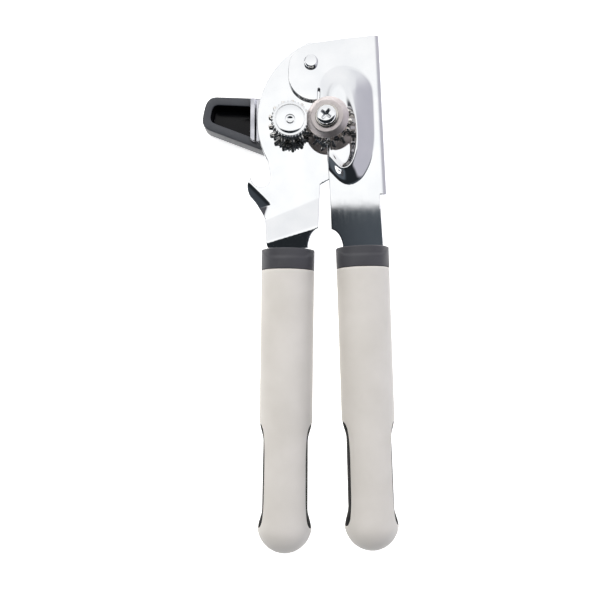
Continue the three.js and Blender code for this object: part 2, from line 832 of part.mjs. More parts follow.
const rivet = meshOf("pivot_rivet", pivotRivet(), steel);
rivet.position.set(pivotX, pivotY, 0);
opener.add(rivet);

opener.add(meshOf("right_lever", rightLever(), steel));
opener.add(placeHandle("right", rightHandleX, rightHandleTopY, rightSplay, -1));

const cutter = new THREE.Group();
cutter.position.set(cutterX, 0, gearMiddle);
cutter.rotation.y = -cutterTilt;
cutter.add(meshOf("cutter_thrust_washer", cutterThrustWasher(), darkSteel));
cutter.add(meshOf("cutter_gear", cutterGear(), darkSteel));
cutter.add(meshOf("cutting_wheel", cuttingWheel(), darkSteel));
cutter.add(meshOf("cutter_stud", cutterStud(), darkSteel));
cutter.add(meshOf("cutter_washer", cutterWasher(), steel));
cutter.add(meshOf("cutter_screw", cutterScrew(), steel));
opener.add(cutter);

opener.add(meshOf("crank_shaft", crankShaft(), steel));
opener.add(meshOf("drive_gear", driveGear(), darkSteel));
opener.add(meshOf("feed_wheel", feedWheel(), steel));
opener.add(meshOf("feed_wheel_washer", feedWheelWasher(), steel));
opener.add(meshOf("crank_washer", crankWasher(), steel));

const crank = new THREE.Group();
crank.rotation.z = crankAngle;
crank.add(meshOf("crank_insert_plate", crankInsertPlate(), steel));
crank.add(meshOf("crank_knob", crankKnob(), knobPlastic));
crank.add(meshOf("crank_cap", crankCap(), knobPlastic));
opener.add(crank);

export default opener;
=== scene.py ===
"""Looks of a two-handled can opener with a turning crank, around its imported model."""

import math

import bmesh
import bpy
import numpy as np
from mathutils import Matrix, Vector


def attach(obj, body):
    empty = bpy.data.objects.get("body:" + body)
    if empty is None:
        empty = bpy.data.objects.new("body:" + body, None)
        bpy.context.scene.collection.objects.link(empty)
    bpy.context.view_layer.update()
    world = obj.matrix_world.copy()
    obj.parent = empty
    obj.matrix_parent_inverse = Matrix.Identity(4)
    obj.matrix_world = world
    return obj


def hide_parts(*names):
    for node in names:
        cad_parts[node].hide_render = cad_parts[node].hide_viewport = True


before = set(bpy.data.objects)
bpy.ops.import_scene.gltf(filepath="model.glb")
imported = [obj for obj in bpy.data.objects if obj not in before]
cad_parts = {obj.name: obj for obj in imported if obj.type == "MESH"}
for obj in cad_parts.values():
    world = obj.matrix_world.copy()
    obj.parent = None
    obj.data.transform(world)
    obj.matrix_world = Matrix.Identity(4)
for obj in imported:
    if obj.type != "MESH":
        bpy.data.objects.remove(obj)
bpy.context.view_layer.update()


# ---------------------------------------------------------------- left lever
# Stamped from 1.6 mm steel strip, bright chrome plated. It steps up towards its handle, carries
# a bottle opener's hook with a lip turned back, and a small tab behind its round edge.

MM = 0.001  # every size here is in millimetres, and a finished mesh is in metres


def linear(colour):
    """An sRGB hex colour as linear red, green, blue and alpha."""
    parts = [int(colour[i : i + 2], 16) / 255 for i in (0, 2, 4)]
    return [
        v / 12.92 if v <= 0.04045 else ((v + 0.055) / 1.055) ** 2.4 for v in parts
    ] + [1.0]


def add(tree, kind, settings=None, inputs=None):
    """Adds a node. An input is a value or another node's output; stops are a ramp's places and colours."""
    made = tree.nodes.new(kind)
    for name, value in (settings or {}).items():
        if name != "stops":
            setattr(made, name, value)
            continue
        stops = made.color_ramp.elements
        while len(stops) < len(value):
            stops.new(1.0)
        for stop, (place, colour) in zip(stops, value):
            stop.position = place
            stop.color = linear(colour)
    for name, value in (inputs or {}).items():
        if isinstance(value, bpy.types.NodeSocket):
            tree.links.new(value, made.inputs[name])
        else:
            made.inputs[name].default_value = value
    return made


def plated_metal(name, colour, shade, roughness, waves, scratches):
    """A polished or ground metal. The noise varies its tint and gloss, and bumps it twice:
    broadly, as pressed and buffed sheet is wavy, and finely, as handling scratches it."""
    material = bpy.data.materials.new(name)
    material.use_nodes = True
    tree = material.node_tree
    tree.nodes.clear()
    place = add(tree, "ShaderNodeTexCoord").outputs["Object"]
    broad = add(
        tree,
        "ShaderNodeTexNoise",
        inputs={"Vector": place, "Scale": 110.0, "Detail": 2.0, "Roughness": 0.4},
    ).outputs["Fac"]
    stretched = add(
        tree,
        "ShaderNodeMapping",
        inputs={
            "Vector": place,
            "Rotation": (0.0, 0.0, 0.3),
            "Scale": (900.0, 90.0, 900.0),
        },
    ).outputs["Vector"]
    lines = add(
        tree,
        "ShaderNodeTexNoise",
        inputs={"Vector": stretched, "Scale": 1.0, "Detail": 4.0, "Roughness": 0.65},
    ).outputs["Fac"]
    tint = add(
        tree,
        "ShaderNodeValToRGB",
        {"stops": [(0.3, shade), (0.7, colour)]},
        {"Fac": broad},
    ).outputs["Color"]
    gloss = add(
        tree,
        "ShaderNodeMapRange",
        inputs={
            "Value": lines,
            "From Min": 0.25,
            "From Max": 0.75,
            "To Min": roughness[0],
            "To Max": roughness[1],
        },
    ).outputs["Result"]
    wavy = add(
        tree,
        "ShaderNodeBump",
        inputs={"Strength": 1.0, "Distance": waves * MM, "Height": broad},
    ).outputs["Normal"]
    scratched = add(
        tree,
        "ShaderNodeBump",
        inputs={
            "Strength": 1.0,
            "Distance": scratches * MM,
            "Height": lines,
            "Normal": wavy,
        },
    ).outputs["Normal"]
    shader = add(
        tree,
        "ShaderNodeBsdfPrincipled",
        inputs={
            "Base Color": tint,
            "Metallic": 1.0,
            "Roughness": gloss,
            "Normal": scratched,
        },
    )
    add(tree, "ShaderNodeOutputMaterial", inputs={"Surface": shader.outputs["BSDF"]})
    return material


def curve(start, control, end, steps=10):
    """Points of a quadratic curve, without its start."""
    t = np.linspace(0, 1, steps + 1)[1:, None]
    a, b, c = (np.array(p, float) for p in (start, control, end))
    return [tuple(p) for p in (1 - t) ** 2 * a + 2 * t * (1 - t) * b + t**2 * c]


def arc(centre, radius, start, end, steps=16):
    """Points of a circular arc from one angle to another, in degrees."""
    turns = np.radians(np.linspace(start, end, steps + 1))
    return [
        (centre[0] + radius * math.cos(t), centre[1] + radius * math.sin(t))
        for t in turns
    ]


def evenly(points, step):
    """A closed outline with points about step apart and its corners kept."""
    out = []
    for a, b in zip(points, points[1:] + points[:1]):
        a, b = np.array(a, float), np.array(b, float)
        count = max(1, round(float(np.linalg.norm(b - a)) / step))
        out += [tuple(a + (b - a) * i / count) for i in range(count)]
    return [p for p, q in zip(out, out[1:] + out[:1]) if math.dist(p, q) > 0.02]


def finished(name, points, faces, crease=40, slots=None):
    """A mesh in metres from points in millimetres, smooth except where it bends sharply."""
    bm = bmesh.new()
    made = [bm.verts.new(Vector(p) * MM) for p in points]
    for i, face in enumerate(faces):
        corners = list(dict.fromkeys(face))
        if len(corners) > 2:
            made_face = bm.faces.new([made[c] for c in corners])
            made_face.material_index = slots[i] if slots is not None else 0
    bmesh.ops.remove_doubles(bm, verts=bm.verts, dist=2e-6)
    bmesh.ops.recalc_face_normals(bm, faces=bm.faces)
    return creased(name, bm, crease)


def creased(name, bm, crease):
    for face in bm.faces:
        face.smooth = True
    for edge in bm.edges:
        if len(edge.link_faces) == 2:
            edge.smooth = edge.calc_face_angle(0.0) < math.radians(crease)
    mesh = bpy.data.meshes.new(name)
    bm.to_mesh(mesh)
    bm.free()
    return mesh


def fitted(name, meshes, body, nodes, slot, *materials):
    """Joins the meshes into one piece that stands for those CAD nodes and moves with that body."""
    bm = bmesh.new()
    for mesh in meshes:
        bm.from_mesh(mesh)
    joined = bpy.data.meshes.new(name)
    bm.to_mesh(joined)
    bm.free()
    for material in materials:
        joined.materials.append(material)
    piece = bpy.data.objects.new(name, joined)
    bpy.context.scene.collection.objects.link(piece)
    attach(piece, body)
    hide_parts(*nodes)
    return piece


def pressed_sheet(name, outline, surface, thickness, step, rim=0.3):
    """Sheet metal: a flat pattern cut into a fine grid, with rounded edges, laid on a formed
    surface that gives x, y and z for places in the pattern."""
    edge = np.array(evenly(outline, 0.5))
    along = np.roll(edge, -1, 0) - np.roll(edge, 1, 0)
    along /= np.linalg.norm(along, axis=1)[:, None]
    inner = edge - rim * np.stack([along[:, 1], -along[:, 0]], 1)
    bm = bmesh.new()
    bm.faces.new([bm.verts.new((x, y, 0)) for x, y in inner])
    low, high = inner.min(0), inner.max(0)
    for axis in (0, 1):
        for at in np.arange(low[axis] + step, high[axis], step):
            where = [0.0, 0.0, 0.0]
            where[axis] = float(at)
            bmesh.ops.bisect_plane(
                bm,
                geom=bm.verts[:] + bm.edges[:] + bm.faces[:],
                dist=1e-4,
                plane_co=where,
                plane_no=[float(axis == 0), float(axis == 1), 0.0],
            )
    bmesh.ops.remove_doubles(bm, verts=bm.verts, dist=0.02)
    bm.verts.ensure_lookup_table()
    bm.verts.index_update()
    flat = np.array([v.co[:2] for v in bm.verts])
    cap = [[v.index for v in f.verts] for f in bm.faces]
    following = {}
    for e in bm.edges:
        if e.is_boundary:
            loop = e.link_loops[0]
            following[loop.vert.index] = loop.link_loop_next.vert.index
    bm.free()
    ring = [next(iter(following))]
    while following[ring[-1]] != ring[0]:
        ring.append(following[ring[-1]])
    border = flat[ring]
    along = np.roll(border, -1, 0) - np.roll(border, 1, 0)
    along /= np.linalg.norm(along, axis=1)[:, None] + 1e-12
    outward = np.stack([along[:, 1], -along[:, 0]], 1)
    turns = np.radians([22.5, 45, 67.5, 90])
    sides = [(rim * math.sin(t), rim * (1 - math.cos(t))) for t in turns]
    sides += [(s, thickness - d) for s, d in reversed(sides)]
    pattern = [flat] + [border + s * outward for s, _ in sides] + [flat]
    depth = [np.zeros(len(flat))]
    depth += [np.full(len(ring), d) for _, d in sides]
    depth += [np.full(len(flat), thickness)]
    pattern, depth = np.concatenate(pattern), np.concatenate(depth)
    starts = [len(flat) + i * len(ring) for i in range(len(sides))]
    back = starts[-1] + len(ring)
    rings = [ring] + [[s + i for i in range(len(ring))] for s in starts]
    rings += [[back + i for i in ring]]
    faces = list(cap) + [[back + i for i in reversed(f)] for f in cap]
    for a, b in zip(rings, rings[1:]):
        for i in range(len(ring)):
            j = (i + 1) % len(ring)
            faces.append([a[i], b[i], b[j], a[j]])
    u, v = pattern[:, 0], pattern[:, 1]
    e = 0.02
    across = surface(u + e, v) - surface(u - e, v)
    down = surface(u, v + e) - surface(u, v - e)
    normal = np.cross(across, down)
    normal /= np.linalg.norm(normal, axis=1)[:, None]
    return finished(name, surface(u, v) - normal * depth[:, None], faces)


def ramp_up(t, entry=0.14, leaving=0.14):
    """0 to 1 for t from 0 to 1, straight in between and rounded at both ends."""
    x = np.linspace(0, 1, 400)
    slope = np.clip(np.minimum(x / entry, (1 - x) / leaving), 0, 1)
    total = np.cumsum(slope)
    return np.interp(np.clip(t, 0, 1), x, total / total[-1])


def soft(t):
    """0 to 1 for t from 0 to 1, level at both ends."""
    t = np.clip(t, 0, 1)
    return t * t * (3 - 2 * t)


def beyond(u, v, start, end):
    """How far a place lies to the right of the line from start to end."""
    length = math.dist(start, end)
    dx, dy = (end[0] - start[0]) / length, (end[1] - start[1]) / length
    return (u - start[0]) * dy - (v - start[1]) * dx


SHEET = 1.6
LEFT_FRONT = 12.6  # front face of the left lever's head
STEP_UP = 1.8  # how far it rises to the handle
LEAD_IN = 9  # length before that step over which the sheet already curves up
LEAD_IN_CURVE = 0.0014
LIP_SLOPE = 0.62  # how steeply the hook's lip falls away


def left_surface(u, v):
    """The left lever's front face: level, a slanting step up to the handle, and the hook's lip."""
    past = beyond(u, v, (-10.5, -39.1), (12.3, -29.1))
    before = -beyond(u, v, (-9.7, -49.4), (11.6, -42.8))
    share = np.where(past <= 0, 0, np.where(before <= 0, 1, past / (past + before + 1e-9)))
    rise = STEP_UP * ramp_up(share, 0.1, 0.1)
    rise += LEAD_IN_CURVE * np.clip(past + LEAD_IN, 0, LEAD_IN) ** 2
    lip = np.minimum(
        beyond(u, v, (-17.9, -23.6), (-8.4, -33.3)),
        beyond(u, v, (-8.3, -32.2), (-10.9, -39.6)),
    )
    lip = np.where(lip < 0.5, np.maximum(lip, 0) ** 2, lip - 0.25)
    return np.stack([u, v, LEFT_FRONT + rise - LIP_SLOPE * lip], 1)


left_outline = (
    [(-5.6, -60), (4.4, -60), (4.4, -51.6), (7.3, -51.2)]
    + curve((7.3, -51.2), (7.9, -44.4), (11.6, -43.1))
    + [(12.5, -24.6), (18.0, -21.5), (20.0, 0.0), (18.2, 22.9)]
    + arc((8.6, 26.9), 9.5, -22, 78)
    + arc((23.0, 2.8), 36.9, 113.5, 208.5, 60)
    + [(-8.5, -20.9)]
    + curve((-8.5, -20.9), (-8.5, -25.4), (-12.5, -25.4))
    + curve((-12.5, -25.4), (-15.3, -25.4), (-16.6, -21.4))
    + curve((-17.4, -22.6), (-19.0, -25.4), (-17.0, -29.3))
    + curve((-17.0, -29.3), (-13.6, -32.6), (-10.6, -39.2))
    + [(-9.9, -49.3), (-9.4, -51.2), (-6.6, -51.6)]
)
tab_outline = (
    [(-11.5, 12.8), (-16.3, 12.8)]
    + curve((-16.3, 12.8), (-16.9, 12.8), (-16.9, 12.2), 4)
    + [(-16.9, -4.4)]
    + curve((-16.9, -4.4), (-16.4, -5.9), (-14.9, -5.9), 5)
    + [(-11.5, -5.9)]
)


def tab_surface(u, v):
    """The tab's front face, with a low step where it leaves the lever."""
    return np.stack([u, v, 11.2 - 1.3 * soft((u + 14.9) / 0.5)], 1)


bright_chrome = plated_metal(
    "bright chrome plate on steel", "eeeff0", "e6e8ea", (0.03, 0.055), 0.009, 0.0007
)
# The tab's face is left as sheared: torn into short upright lines that the plating follows.
sheared_chrome = plated_metal(
    "sheared and plated steel", "e4e4ea", "9fa0a8", (0.16, 0.3), 0.05, 0.05
)
left_sheet = pressed_sheet("left sheet", left_outline, left_surface, SHEET, 0.6)
tab_sheet = pressed_sheet("tab sheet", tab_outline, tab_surface, 1.3, 0.8, 0.2)
for face in tab_sheet.polygons:
    face.material_index = 1
fitted(
    "left_lever_plate",
    [left_sheet, tab_sheet],
    "left_arm",
    ["left_lever"],
    "chrome_steel",
    bright_chrome,
    sheared_chrome,
)


# ---------------------------------------------------------------- right lever
# The same plated strip, pressed harder: a horseshoe ridge stands round a leaning floor on which
# the cutting wheel's gear turns, and the long outer edge is rolled back to stiffen it.

RIGHT_FRONT = 14.4
LEAN = math.radians(12)  # of the floor and of the cutting wheel's axis
FLANGE_LEAN = math.radians(2.4)
FLANGE_BEND = 3.0
FLANGE_WIDTH = 5.8  # flat width of the rolled edge


def smooth_loop(points, steps=8):
    """A closed curve through the points."""
    p = np.array(points, float)
    before, after, last = np.roll(p, 1, 0), np.roll(p, -1, 0), np.roll(p, -2, 0)
    out = []
    for i in range(len(p)):
        for t in np.arange(steps) / steps:
            out.append(
                0.5
                * (
                    2 * p[i]
                    + (after[i] - before[i]) * t
                    + (2 * before[i] - 5 * p[i] + 4 * after[i] - last[i]) * t**2
                    + (3 * p[i] - before[i] - 3 * after[i] + last[i]) * t**3
                )
            )
    return np.array(out)


def depth_inside(x, y, loop):
    """Distance to a closed curve, positive inside it."""
    best = np.full(x.shape, 1e9)
    inside = np.zeros(x.shape, bool)
    for (ax, ay), (bx, by) in zip(loop, np.roll(loop, -1, 0)):
        dx, dy = bx - ax, by - ay
        t = np.clip(((x - ax) * dx + (y - ay) * dy) / (dx * dx + dy * dy + 1e-12), 0, 1)
        best = np.minimum(best, np.hypot(x - ax - t * dx, y - ay - t * dy))
        crosses = (ay > y) != (by > y)
        inside ^= crosses & (x < ax + (y - ay) * dx / (dy if abs(dy) > 1e-12 else 1e-12))
    return np.where(inside, best, -best)


ridge_foot = smooth_loop(
    [(15.6, 22.6), (18.6, 24.4), (22.0, 25.0), (25.6, 24.5), (29.3, 22.8), (32.4, 20.0)]
    + [(34.1, 16.8), (34.6, 12.7), (34.7, 4.2), (34.7, -6.0), (33.4, -14.0)]
    + [(30.0, -20.8), (26.6, -23.7), (23.6, -24.3), (20.6, -22.8), (17.0, -19.2)]
    + [(13.0, -15.6), (12.6, -11.8), (14.8, -10.4), (15.3, -8.0), (15.0, -3.0)]
    + [(13.6, 4.0), (11.9, 10.0), (11.7, 15.5), (13.2, 19.8)]
)
ridge_crest = smooth_loop(
    [(20.9, 16.6), (23.4, 13.4), (25.0, 8.5), (26.4, 2.2), (27.1, -6.0), (26.6, -12.4)]
    + [(25.2, -16.6), (23.3, -18.6), (20.9, -18.8), (18.2, -15.9), (16.1, -12.3)]
    + [(16.2, -8.0), (16.0, -3.0), (15.8, 4.0), (16.0, 9.0), (16.8, 13.2)]
    + [(18.0, 15.6), (19.4, 16.6)]
)
GRID = 0.2
grid_x = np.arange(6, 42, GRID)
grid_y = np.arange(-32, 32, GRID)


def blurred(field, radius):
    """Softens a height field, as sheet never folds sharply."""
    reach = int(3 * radius / GRID) + 1
    steps = np.arange(-reach, reach + 1) * GRID
    weights = np.exp(-(steps**2) / (2 * radius**2))
    weights /= weights.sum()
    for axis in (0, 1):
        padded = np.pad(field, [(reach, reach) if a == axis else (0, 0) for a in (0, 1)], "edge")
        field = sum(
            w * np.take(padded, np.arange(field.shape[axis]) + i, axis)
            for i, w in enumerate(weights)
        )
    return field


def pressed_heights():
    """The ridge and the pocket inside it, as heights over a grid of the right lever."""
    x, y = np.meshgrid(grid_x, grid_y, indexing="ij")
    foot = depth_inside(x, y, ridge_foot)
    crest = depth_inside(x, y, ridge_crest)
    floor = np.maximum(0, 1.62 + (np.minimum(x, 27.4) - 16.5) * math.tan(LEAN))
    proud = 1.5 * soft((17 - y) / 16) * soft((x - 14.5) / 9)
    top = floor + proud
    slope = np.clip(foot, 0, None) / (np.clip(foot, 0, None) + np.clip(-crest, 0, None) + 1e-9)
    outside = top * ramp_up(slope, 0.06, 0.14)
    wall = ramp_up(crest / 2.1, 0.1, 0.2)
    return blurred(np.where(crest > 0, floor + proud * (1 - wall), outside), 0.28)


heights = pressed_heights()


def height_at(x, y):
    """The pressed height at a place, read from the field."""
    i = np.clip((x - grid_x[0]) / GRID, 0, len(grid_x) - 1.001)
    j = np.clip((y - grid_y[0]) / GRID, 0, len(grid_y) - 1.001)
    i0, j0 = i.astype(int), j.astype(int)
    s, t = i - i0, j - j0
    low = heights[i0, j0] * (1 - s) + heights[i0 + 1, j0] * s
    high = heights[i0, j0 + 1] * (1 - s) + heights[i0 + 1, j0 + 1] * s
    return low * (1 - t) + high * t


def right_surface(u, v):
    """The right lever's front face: pressed ridge and pocket, and the edge bent down."""
    z = RIGHT_FRONT + height_at(u, v)
    past = (u - 34.95) * math.cos(FLANGE_LEAN) + (v - 38.2) * math.sin(FLANGE_LEAN)
    past = np.clip(past, 0, None) * (v > -29.6)
    turn = np.clip(past / FLANGE_BEND, 0, math.pi / 2)
    shift = FLANGE_BEND * np.sin(turn) - past
    drop = FLANGE_BEND * (1 - np.cos(turn)) + np.clip(past - FLANGE_BEND * math.pi / 2, 0, None)
    return np.stack(
        [
            u + shift * math.cos(FLANGE_LEAN),
            v + shift * math.sin(FLANGE_LEAN),
            z - drop,
        ],
        1,
    )


right_outline = (
    [(25.2, -60), (35.2, -60), (35.2, -50.6), (38.3, -50.2), (37.2, -29.2)]
    + [(37.8 + FLANGE_WIDTH, -29.0), (35.0 + FLANGE_WIDTH, 38.1)]
    + curve((35.0 + FLANGE_WIDTH, 38.1), (35.0 + FLANGE_WIDTH, 38.9), (40.0, 38.9), 4)
    + [(35.0, 38.7), (24.0, 37.5), (12.0, 35.8)]
    + curve((12.0, 35.8), (5.2, 34.9), (1.9, 31.6))
    + curve((1.9, 31.6), (-0.9, 29.0), (-0.9, 23.4))
    + arc((9.9, 21.4), 10.8, 172, 270, 24)
    + [(11.3, 10.9), (11.5, 15.5)]
    + curve((11.5, 15.5), (11.9, 16.0), (12.3, 15.5), 4)
    + [(12.2, 12.4), (10.9, 5.2)]
    + arc((16.3, -1.4), 6.9, 140, 262, 24)
    + [(15.4, -13.4), (16.2, -24.7), (16.9, -43.6)]
    + curve((16.9, -43.6), (20.8, -44.6), (21.6, -50.4))
)
right_sheet = pressed_sheet("right sheet", right_outline, right_surface, SHEET, 0.42)
fitted(
    "right_lever_plate",
    [right_sheet],
    "right_arm",
    ["right_lever"],
    "chrome_steel",
    bright_chrome,
)


# ---------------------------------------------------------------- pivot rivet
# A solid steel rivet, its front head domed by the setting tool and plated with the levers.


def rounded(profile, radius, steps=4, closed=False):
    """A profile with its corners rounded."""
    out = []
    count = len(profile)
    for i, point in enumerate(profile):
        if not closed and i in (0, count - 1):
            out.append(point)
            continue
        p, q, r = (Vector(profile[j % count]) for j in (i - 1, i, i + 1))
        a, b = p - q, r - q
        reach = min(radius, a.length * 0.45, b.length * 0.45)
        if reach < 1e-4 or abs(a.normalized().cross(b.normalized())) < 0.02:
            out.append(point)
            continue
        out.append(tuple(q + a.normalized() * reach))
        out += curve(out[-1], tuple(q), tuple(q + b.normalized() * reach), steps)
    return out


def lathe(name, profile, steps=72, closed=False, crease=34):
    """A turned piece about Z from radius and height pairs, axis to axis or closed."""
    turns = np.linspace(0, 2 * math.pi, steps, endpoint=False)
    points = [
        (r * math.cos(t), r * math.sin(t), z) for r, z in profile for t in turns
    ]
    faces = []
    rows = len(profile)
    for i in range(rows if closed else rows - 1):
        for j in range(steps):
            a, b = i * steps, ((i + 1) % rows) * steps
            k = (j + 1) % steps
            faces.append([a + j, b + j, b + k, a + k])
    return finished(name, points, faces, crease)


def moved(mesh, matrix):
    mesh.transform(matrix)
    return mesh


rivet_profile = rounded(
    [(0, 9.95), (3.4, 9.95), (3.6, 10.3), (3.6, 10.9), (2.3, 10.9), (2.3, 14.5)]
    + [(2.95, 14.5), (2.95, 15.5), (2.45, 16.15), (2.2, 16.2), (0, 16.3)],
    0.3,
)
fitted(
    "pivot_rivet_head",
    [moved(lathe("rivet", rivet_profile), Matrix.Translation((0.0086, 0.0269, 0)))],
    "left_arm",
    ["pivot_rivet"],
    "chrome_steel",
    bright_chrome,
)


# ---------------------------------------------------------------- crank shaft and its bush
# Turned bright steel. The bush is pressed into the left lever, and the shaft is peened over the
# feed wheel in front, which leaves a shallow dimple.

turned_steel = plated_metal(
    "turned bright steel", "d6d3cd", "b9b5ae", (0.14, 0.26), 0.01, 0.004
)
GEAR_BACK = 16.595
GEAR_FRONT = 19.795
FEED_BACK = 19.895
FEED_FRONT = 22.495

bush_profile = rounded(
    [(3.15, 11.1), (4.4, 11.1), (4.4, 12.7), (5.6, 12.7), (5.6, 16.4), (3.15, 16.4)],
    0.2,
    closed=True,
)
fitted(
    "shaft_bush",
    [lathe("bush", bush_profile, closed=True)],
    "left_arm",
    ["shaft_bushing"],
    "gear_steel",
    turned_steel,
)
shaft_profile = rounded(
    [(0, 6.2), (3.6, 6.2), (3.6, 7.4), (2, 7.4), (2, 9.5), (3, 9.5), (3, FEED_FRONT - 0.32)]
    + [(1.7, FEED_FRONT - 0.28), (1.3, FEED_FRONT - 0.2), (0, FEED_FRONT - 0.5)],
    0.15,
)
fitted(
    "crank_shaft_turned",
    [lathe("shaft", shaft_profile)],
    "crank",
    ["crank_shaft"],
    "chrome_steel",
    bright_chrome,
)
washer_profile = rounded(
    [(3.15, 9.62), (6.5, 9.62), (6.5, 10.82), (3.15, 10.82)], 0.25, closed=True
)
fitted(
    "crank_washer_ring",
    [lathe("crank washer", washer_profile, closed=True)],
    "crank",
    ["crank_washer"],
    "chrome_steel",
    turned_steel,
)


# ---------------------------------------------------------------- gears
# Two equal gears, blanked from thick steel strip and zinc plated, tinted slightly warm all over
# as a painted reflection of the brownish gleam on their flanks. Each tooth is one sector, turned round the
# axis.


def sector_ring():
    """Geometry Nodes that turn copies of a sector round Z and weld them into one ring."""
    tree = bpy.data.node_groups.new("sector ring", "GeometryNodeTree")
    for label, kind in (
        ("Sector", "NodeSocketGeometry"),
        ("Count", "NodeSocketInt"),
        ("Finish", "NodeSocketMaterial"),
    ):
        tree.interface.new_socket(label, in_out="INPUT", socket_type=kind)
    tree.interface.new_socket(
        "Ring", in_out="OUTPUT", socket_type="NodeSocketGeometry"
    )
    given = add(tree, "NodeGroupInput").outputs
    spots = add(tree, "GeometryNodePoints", inputs={"Count": given["Count"]})
    share = add(
        tree,
        "ShaderNodeMath",
        {"operation": "DIVIDE"},
        {0: add(tree, "GeometryNodeInputIndex").outputs["Index"], 1: given["Count"]},
    )
    angle = add(
        tree,
        "ShaderNodeMath",
        {"operation": "MULTIPLY"},
        {0: share.outputs[0], 1: 2 * math.pi},
    )
    turn = add(tree, "ShaderNodeCombineXYZ", inputs={"Z": angle.outputs[0]})
    copies = add(
        tree,
        "GeometryNodeInstanceOnPoints",
        inputs={
            "Points": spots.outputs[0],
            "Instance": given["Sector"],
            "Rotation": turn.outputs[0],
        },
    )
    whole = add(
        tree,
        "GeometryNodeRealizeInstances",
        inputs={"Geometry": copies.outputs["Instances"]},
    )
    welded = add(
        tree,
        "GeometryNodeMergeByDistance",
        inputs={"Geometry": whole.outputs["Geometry"], "Distance": 3e-6},
    )
    coated = add(
        tree,
        "GeometryNodeSetMaterial",
        inputs={
            "Geometry": welded.outputs["Geometry"],
            "Material": given["Finish"],
        },
    )
    add(tree, "NodeGroupOutput", inputs={"Ring": coated.outputs["Geometry"]})
    return tree


sector_ring_tree = sector_ring()


def toothed(name, count, rim, bore, low, high, bevel, material):
    """A ring of equal sectors: rim gives shares of a sector and radii, from -0.5 to 0.5."""
    points, faces = [], []
    for share, radius in rim:
        turn = share * 2 * math.pi / count
        section = [(bore, low), (radius - bevel, low)]
        section += [(radius - 0.3 * bevel, low + 0.3 * bevel), (radius, low + bevel)]
        section += [(radius, (low + high) / 2), (radius, high - bevel)]
        section += [(radius - 0.3 * bevel, high - 0.3 * bevel), (radius - bevel, high)]
        section += [(bore, high)]
        points += [(r * math.cos(turn), r * math.sin(turn), z) for r, z in section]
    size = len(points) // len(rim)
    for i in range(len(rim) - 1):
        for j in range(size):
            k = (j + 1) % size
            faces.append(
                [i * size + j, i * size + k, (i + 1) * size + k, (i + 1) * size + j]
            )
    mesh = bpy.data.meshes.new(name)
    mesh.from_pydata([Vector(p) * MM for p in points], [], faces)
    holder = bpy.data.objects.new(name, mesh)
    bpy.context.scene.collection.objects.link(holder)
    modifier = holder.modifiers.new("ring", "NODES")
    modifier.node_group = sector_ring_tree
    for socket in sector_ring_tree.interface.items_tree:
        if socket.in_out == "INPUT" and socket.name == "Count":
            modifier[socket.identifier] = count
        if socket.in_out == "INPUT" and socket.name == "Finish":
            modifier[socket.identifier] = material
    bpy.context.view_layer.update()
    depsgraph = bpy.context.evaluated_depsgraph_get()
    whole = bpy.data.meshes.new_from_object(holder.evaluated_get(depsgraph))
    holder.modifiers.remove(modifier)
    bpy.data.objects.remove(holder)
    bm = bmesh.new()
    bm.from_mesh(whole)
    bmesh.ops.recalc_face_normals(bm, faces=bm.faces)
    done = creased(name, bm, 30)
    done.materials.clear()
    return done


# The pale colour is the plating's own; its slight warmth is a painted reflection of the brownish gleam on
# the flanks.
gear_steel = plated_metal(
    "zinc plated gear steel", "f1efec", "dcd8d2", (0.08, 0.2), 0.08, 0.006
)
GEAR_TEETH = 13
half_tooth = [(-0.5, 6.9), (-0.42, 6.88), (-0.34, 6.9), (-0.29, 7.05), (-0.255, 7.4)]
half_tooth += [(-0.22, 7.9), (-0.19, 8.3), (-0.15, 8.7), (-0.11, 8.96), (-0.08, 9.02)]
tooth_rim = half_tooth + [(0, 9.04)] + [(-s, r) for s, r in reversed(half_tooth)]
drive_gear = toothed(
    "drive gear", GEAR_TEETH, tooth_rim, 3.05, GEAR_BACK, GEAR_FRONT, 0.22, gear_steel
)
fitted("drive_gear_ring", [drive_gear], "crank", ["drive_gear"], "gear_steel", gear_steel)


# ---------------------------------------------------------------- feed wheel
# A hardened steel wheel, its rim serrated to grip the can's rim, its face polished. A dished
# washer sits in a shallow ring in the face.

serration = [(-0.5, 7.2), (-0.42, 7.22), (-0.28, 7.42), (-0.12, 7.76), (-0.05, 7.8), (0, 7.8)]
serration += [(-share, radius) for share, radius in reversed(serration[:-1])]
feed_rim = toothed(
    "feed rim", 34, serration, 6.1, FEED_BACK, FEED_FRONT - 0.03, 0.2, bright_chrome
)
feed_face = rounded(
    [(2.95, FEED_BACK + 0.1), (6.9, FEED_BACK + 0.1), (6.9, FEED_FRONT)]
    + [(6.25, FEED_FRONT), (6.1, FEED_FRONT - 0.3), (5.85, FEED_FRONT - 0.3)]
    + [(2.95, FEED_FRONT - 0.3)],
    0.09,
    closed=True,
)
fitted(
    "feed_wheel_rim",
    [feed_rim, lathe("feed face", feed_face, 96, closed=True, crease=50)],
    "crank",
    ["feed_wheel"],
    "chrome_steel",
    bright_chrome,
)
feed_washer = rounded(
    [(1.9, FEED_FRONT - 0.2), (5.78, FEED_FRONT - 0.32), (5.78, FEED_FRONT - 0.02)]
    + [(1.95, FEED_FRONT + 0.02)],
    0.16,
    closed=True,
)
fitted(
    "feed_wheel_dished_washer",
    [lathe("feed washer", feed_washer, 96, closed=True)],
    "crank",
    ["feed_wheel_washer"],
    "chrome_steel",
    bright_chrome,
)


# ---------------------------------------------------------------- cutting wheel and its gear
# The disc is hardened, flat behind and ground to a bevel in front, and turns with its gear on a
# stud that leans towards the feed wheel. A washer and a cross-slotted screw hold them on.

cutter_place = Matrix.Translation((0.01651, 0, 0.018195)) @ Matrix.Rotation(-LEAN, 4, "Y")
EDGE = 6.531  # back face of the disc, from the middle of the gear
DISC = 1.7
DISC_RADIUS = 8.6
TOP = EDGE + DISC


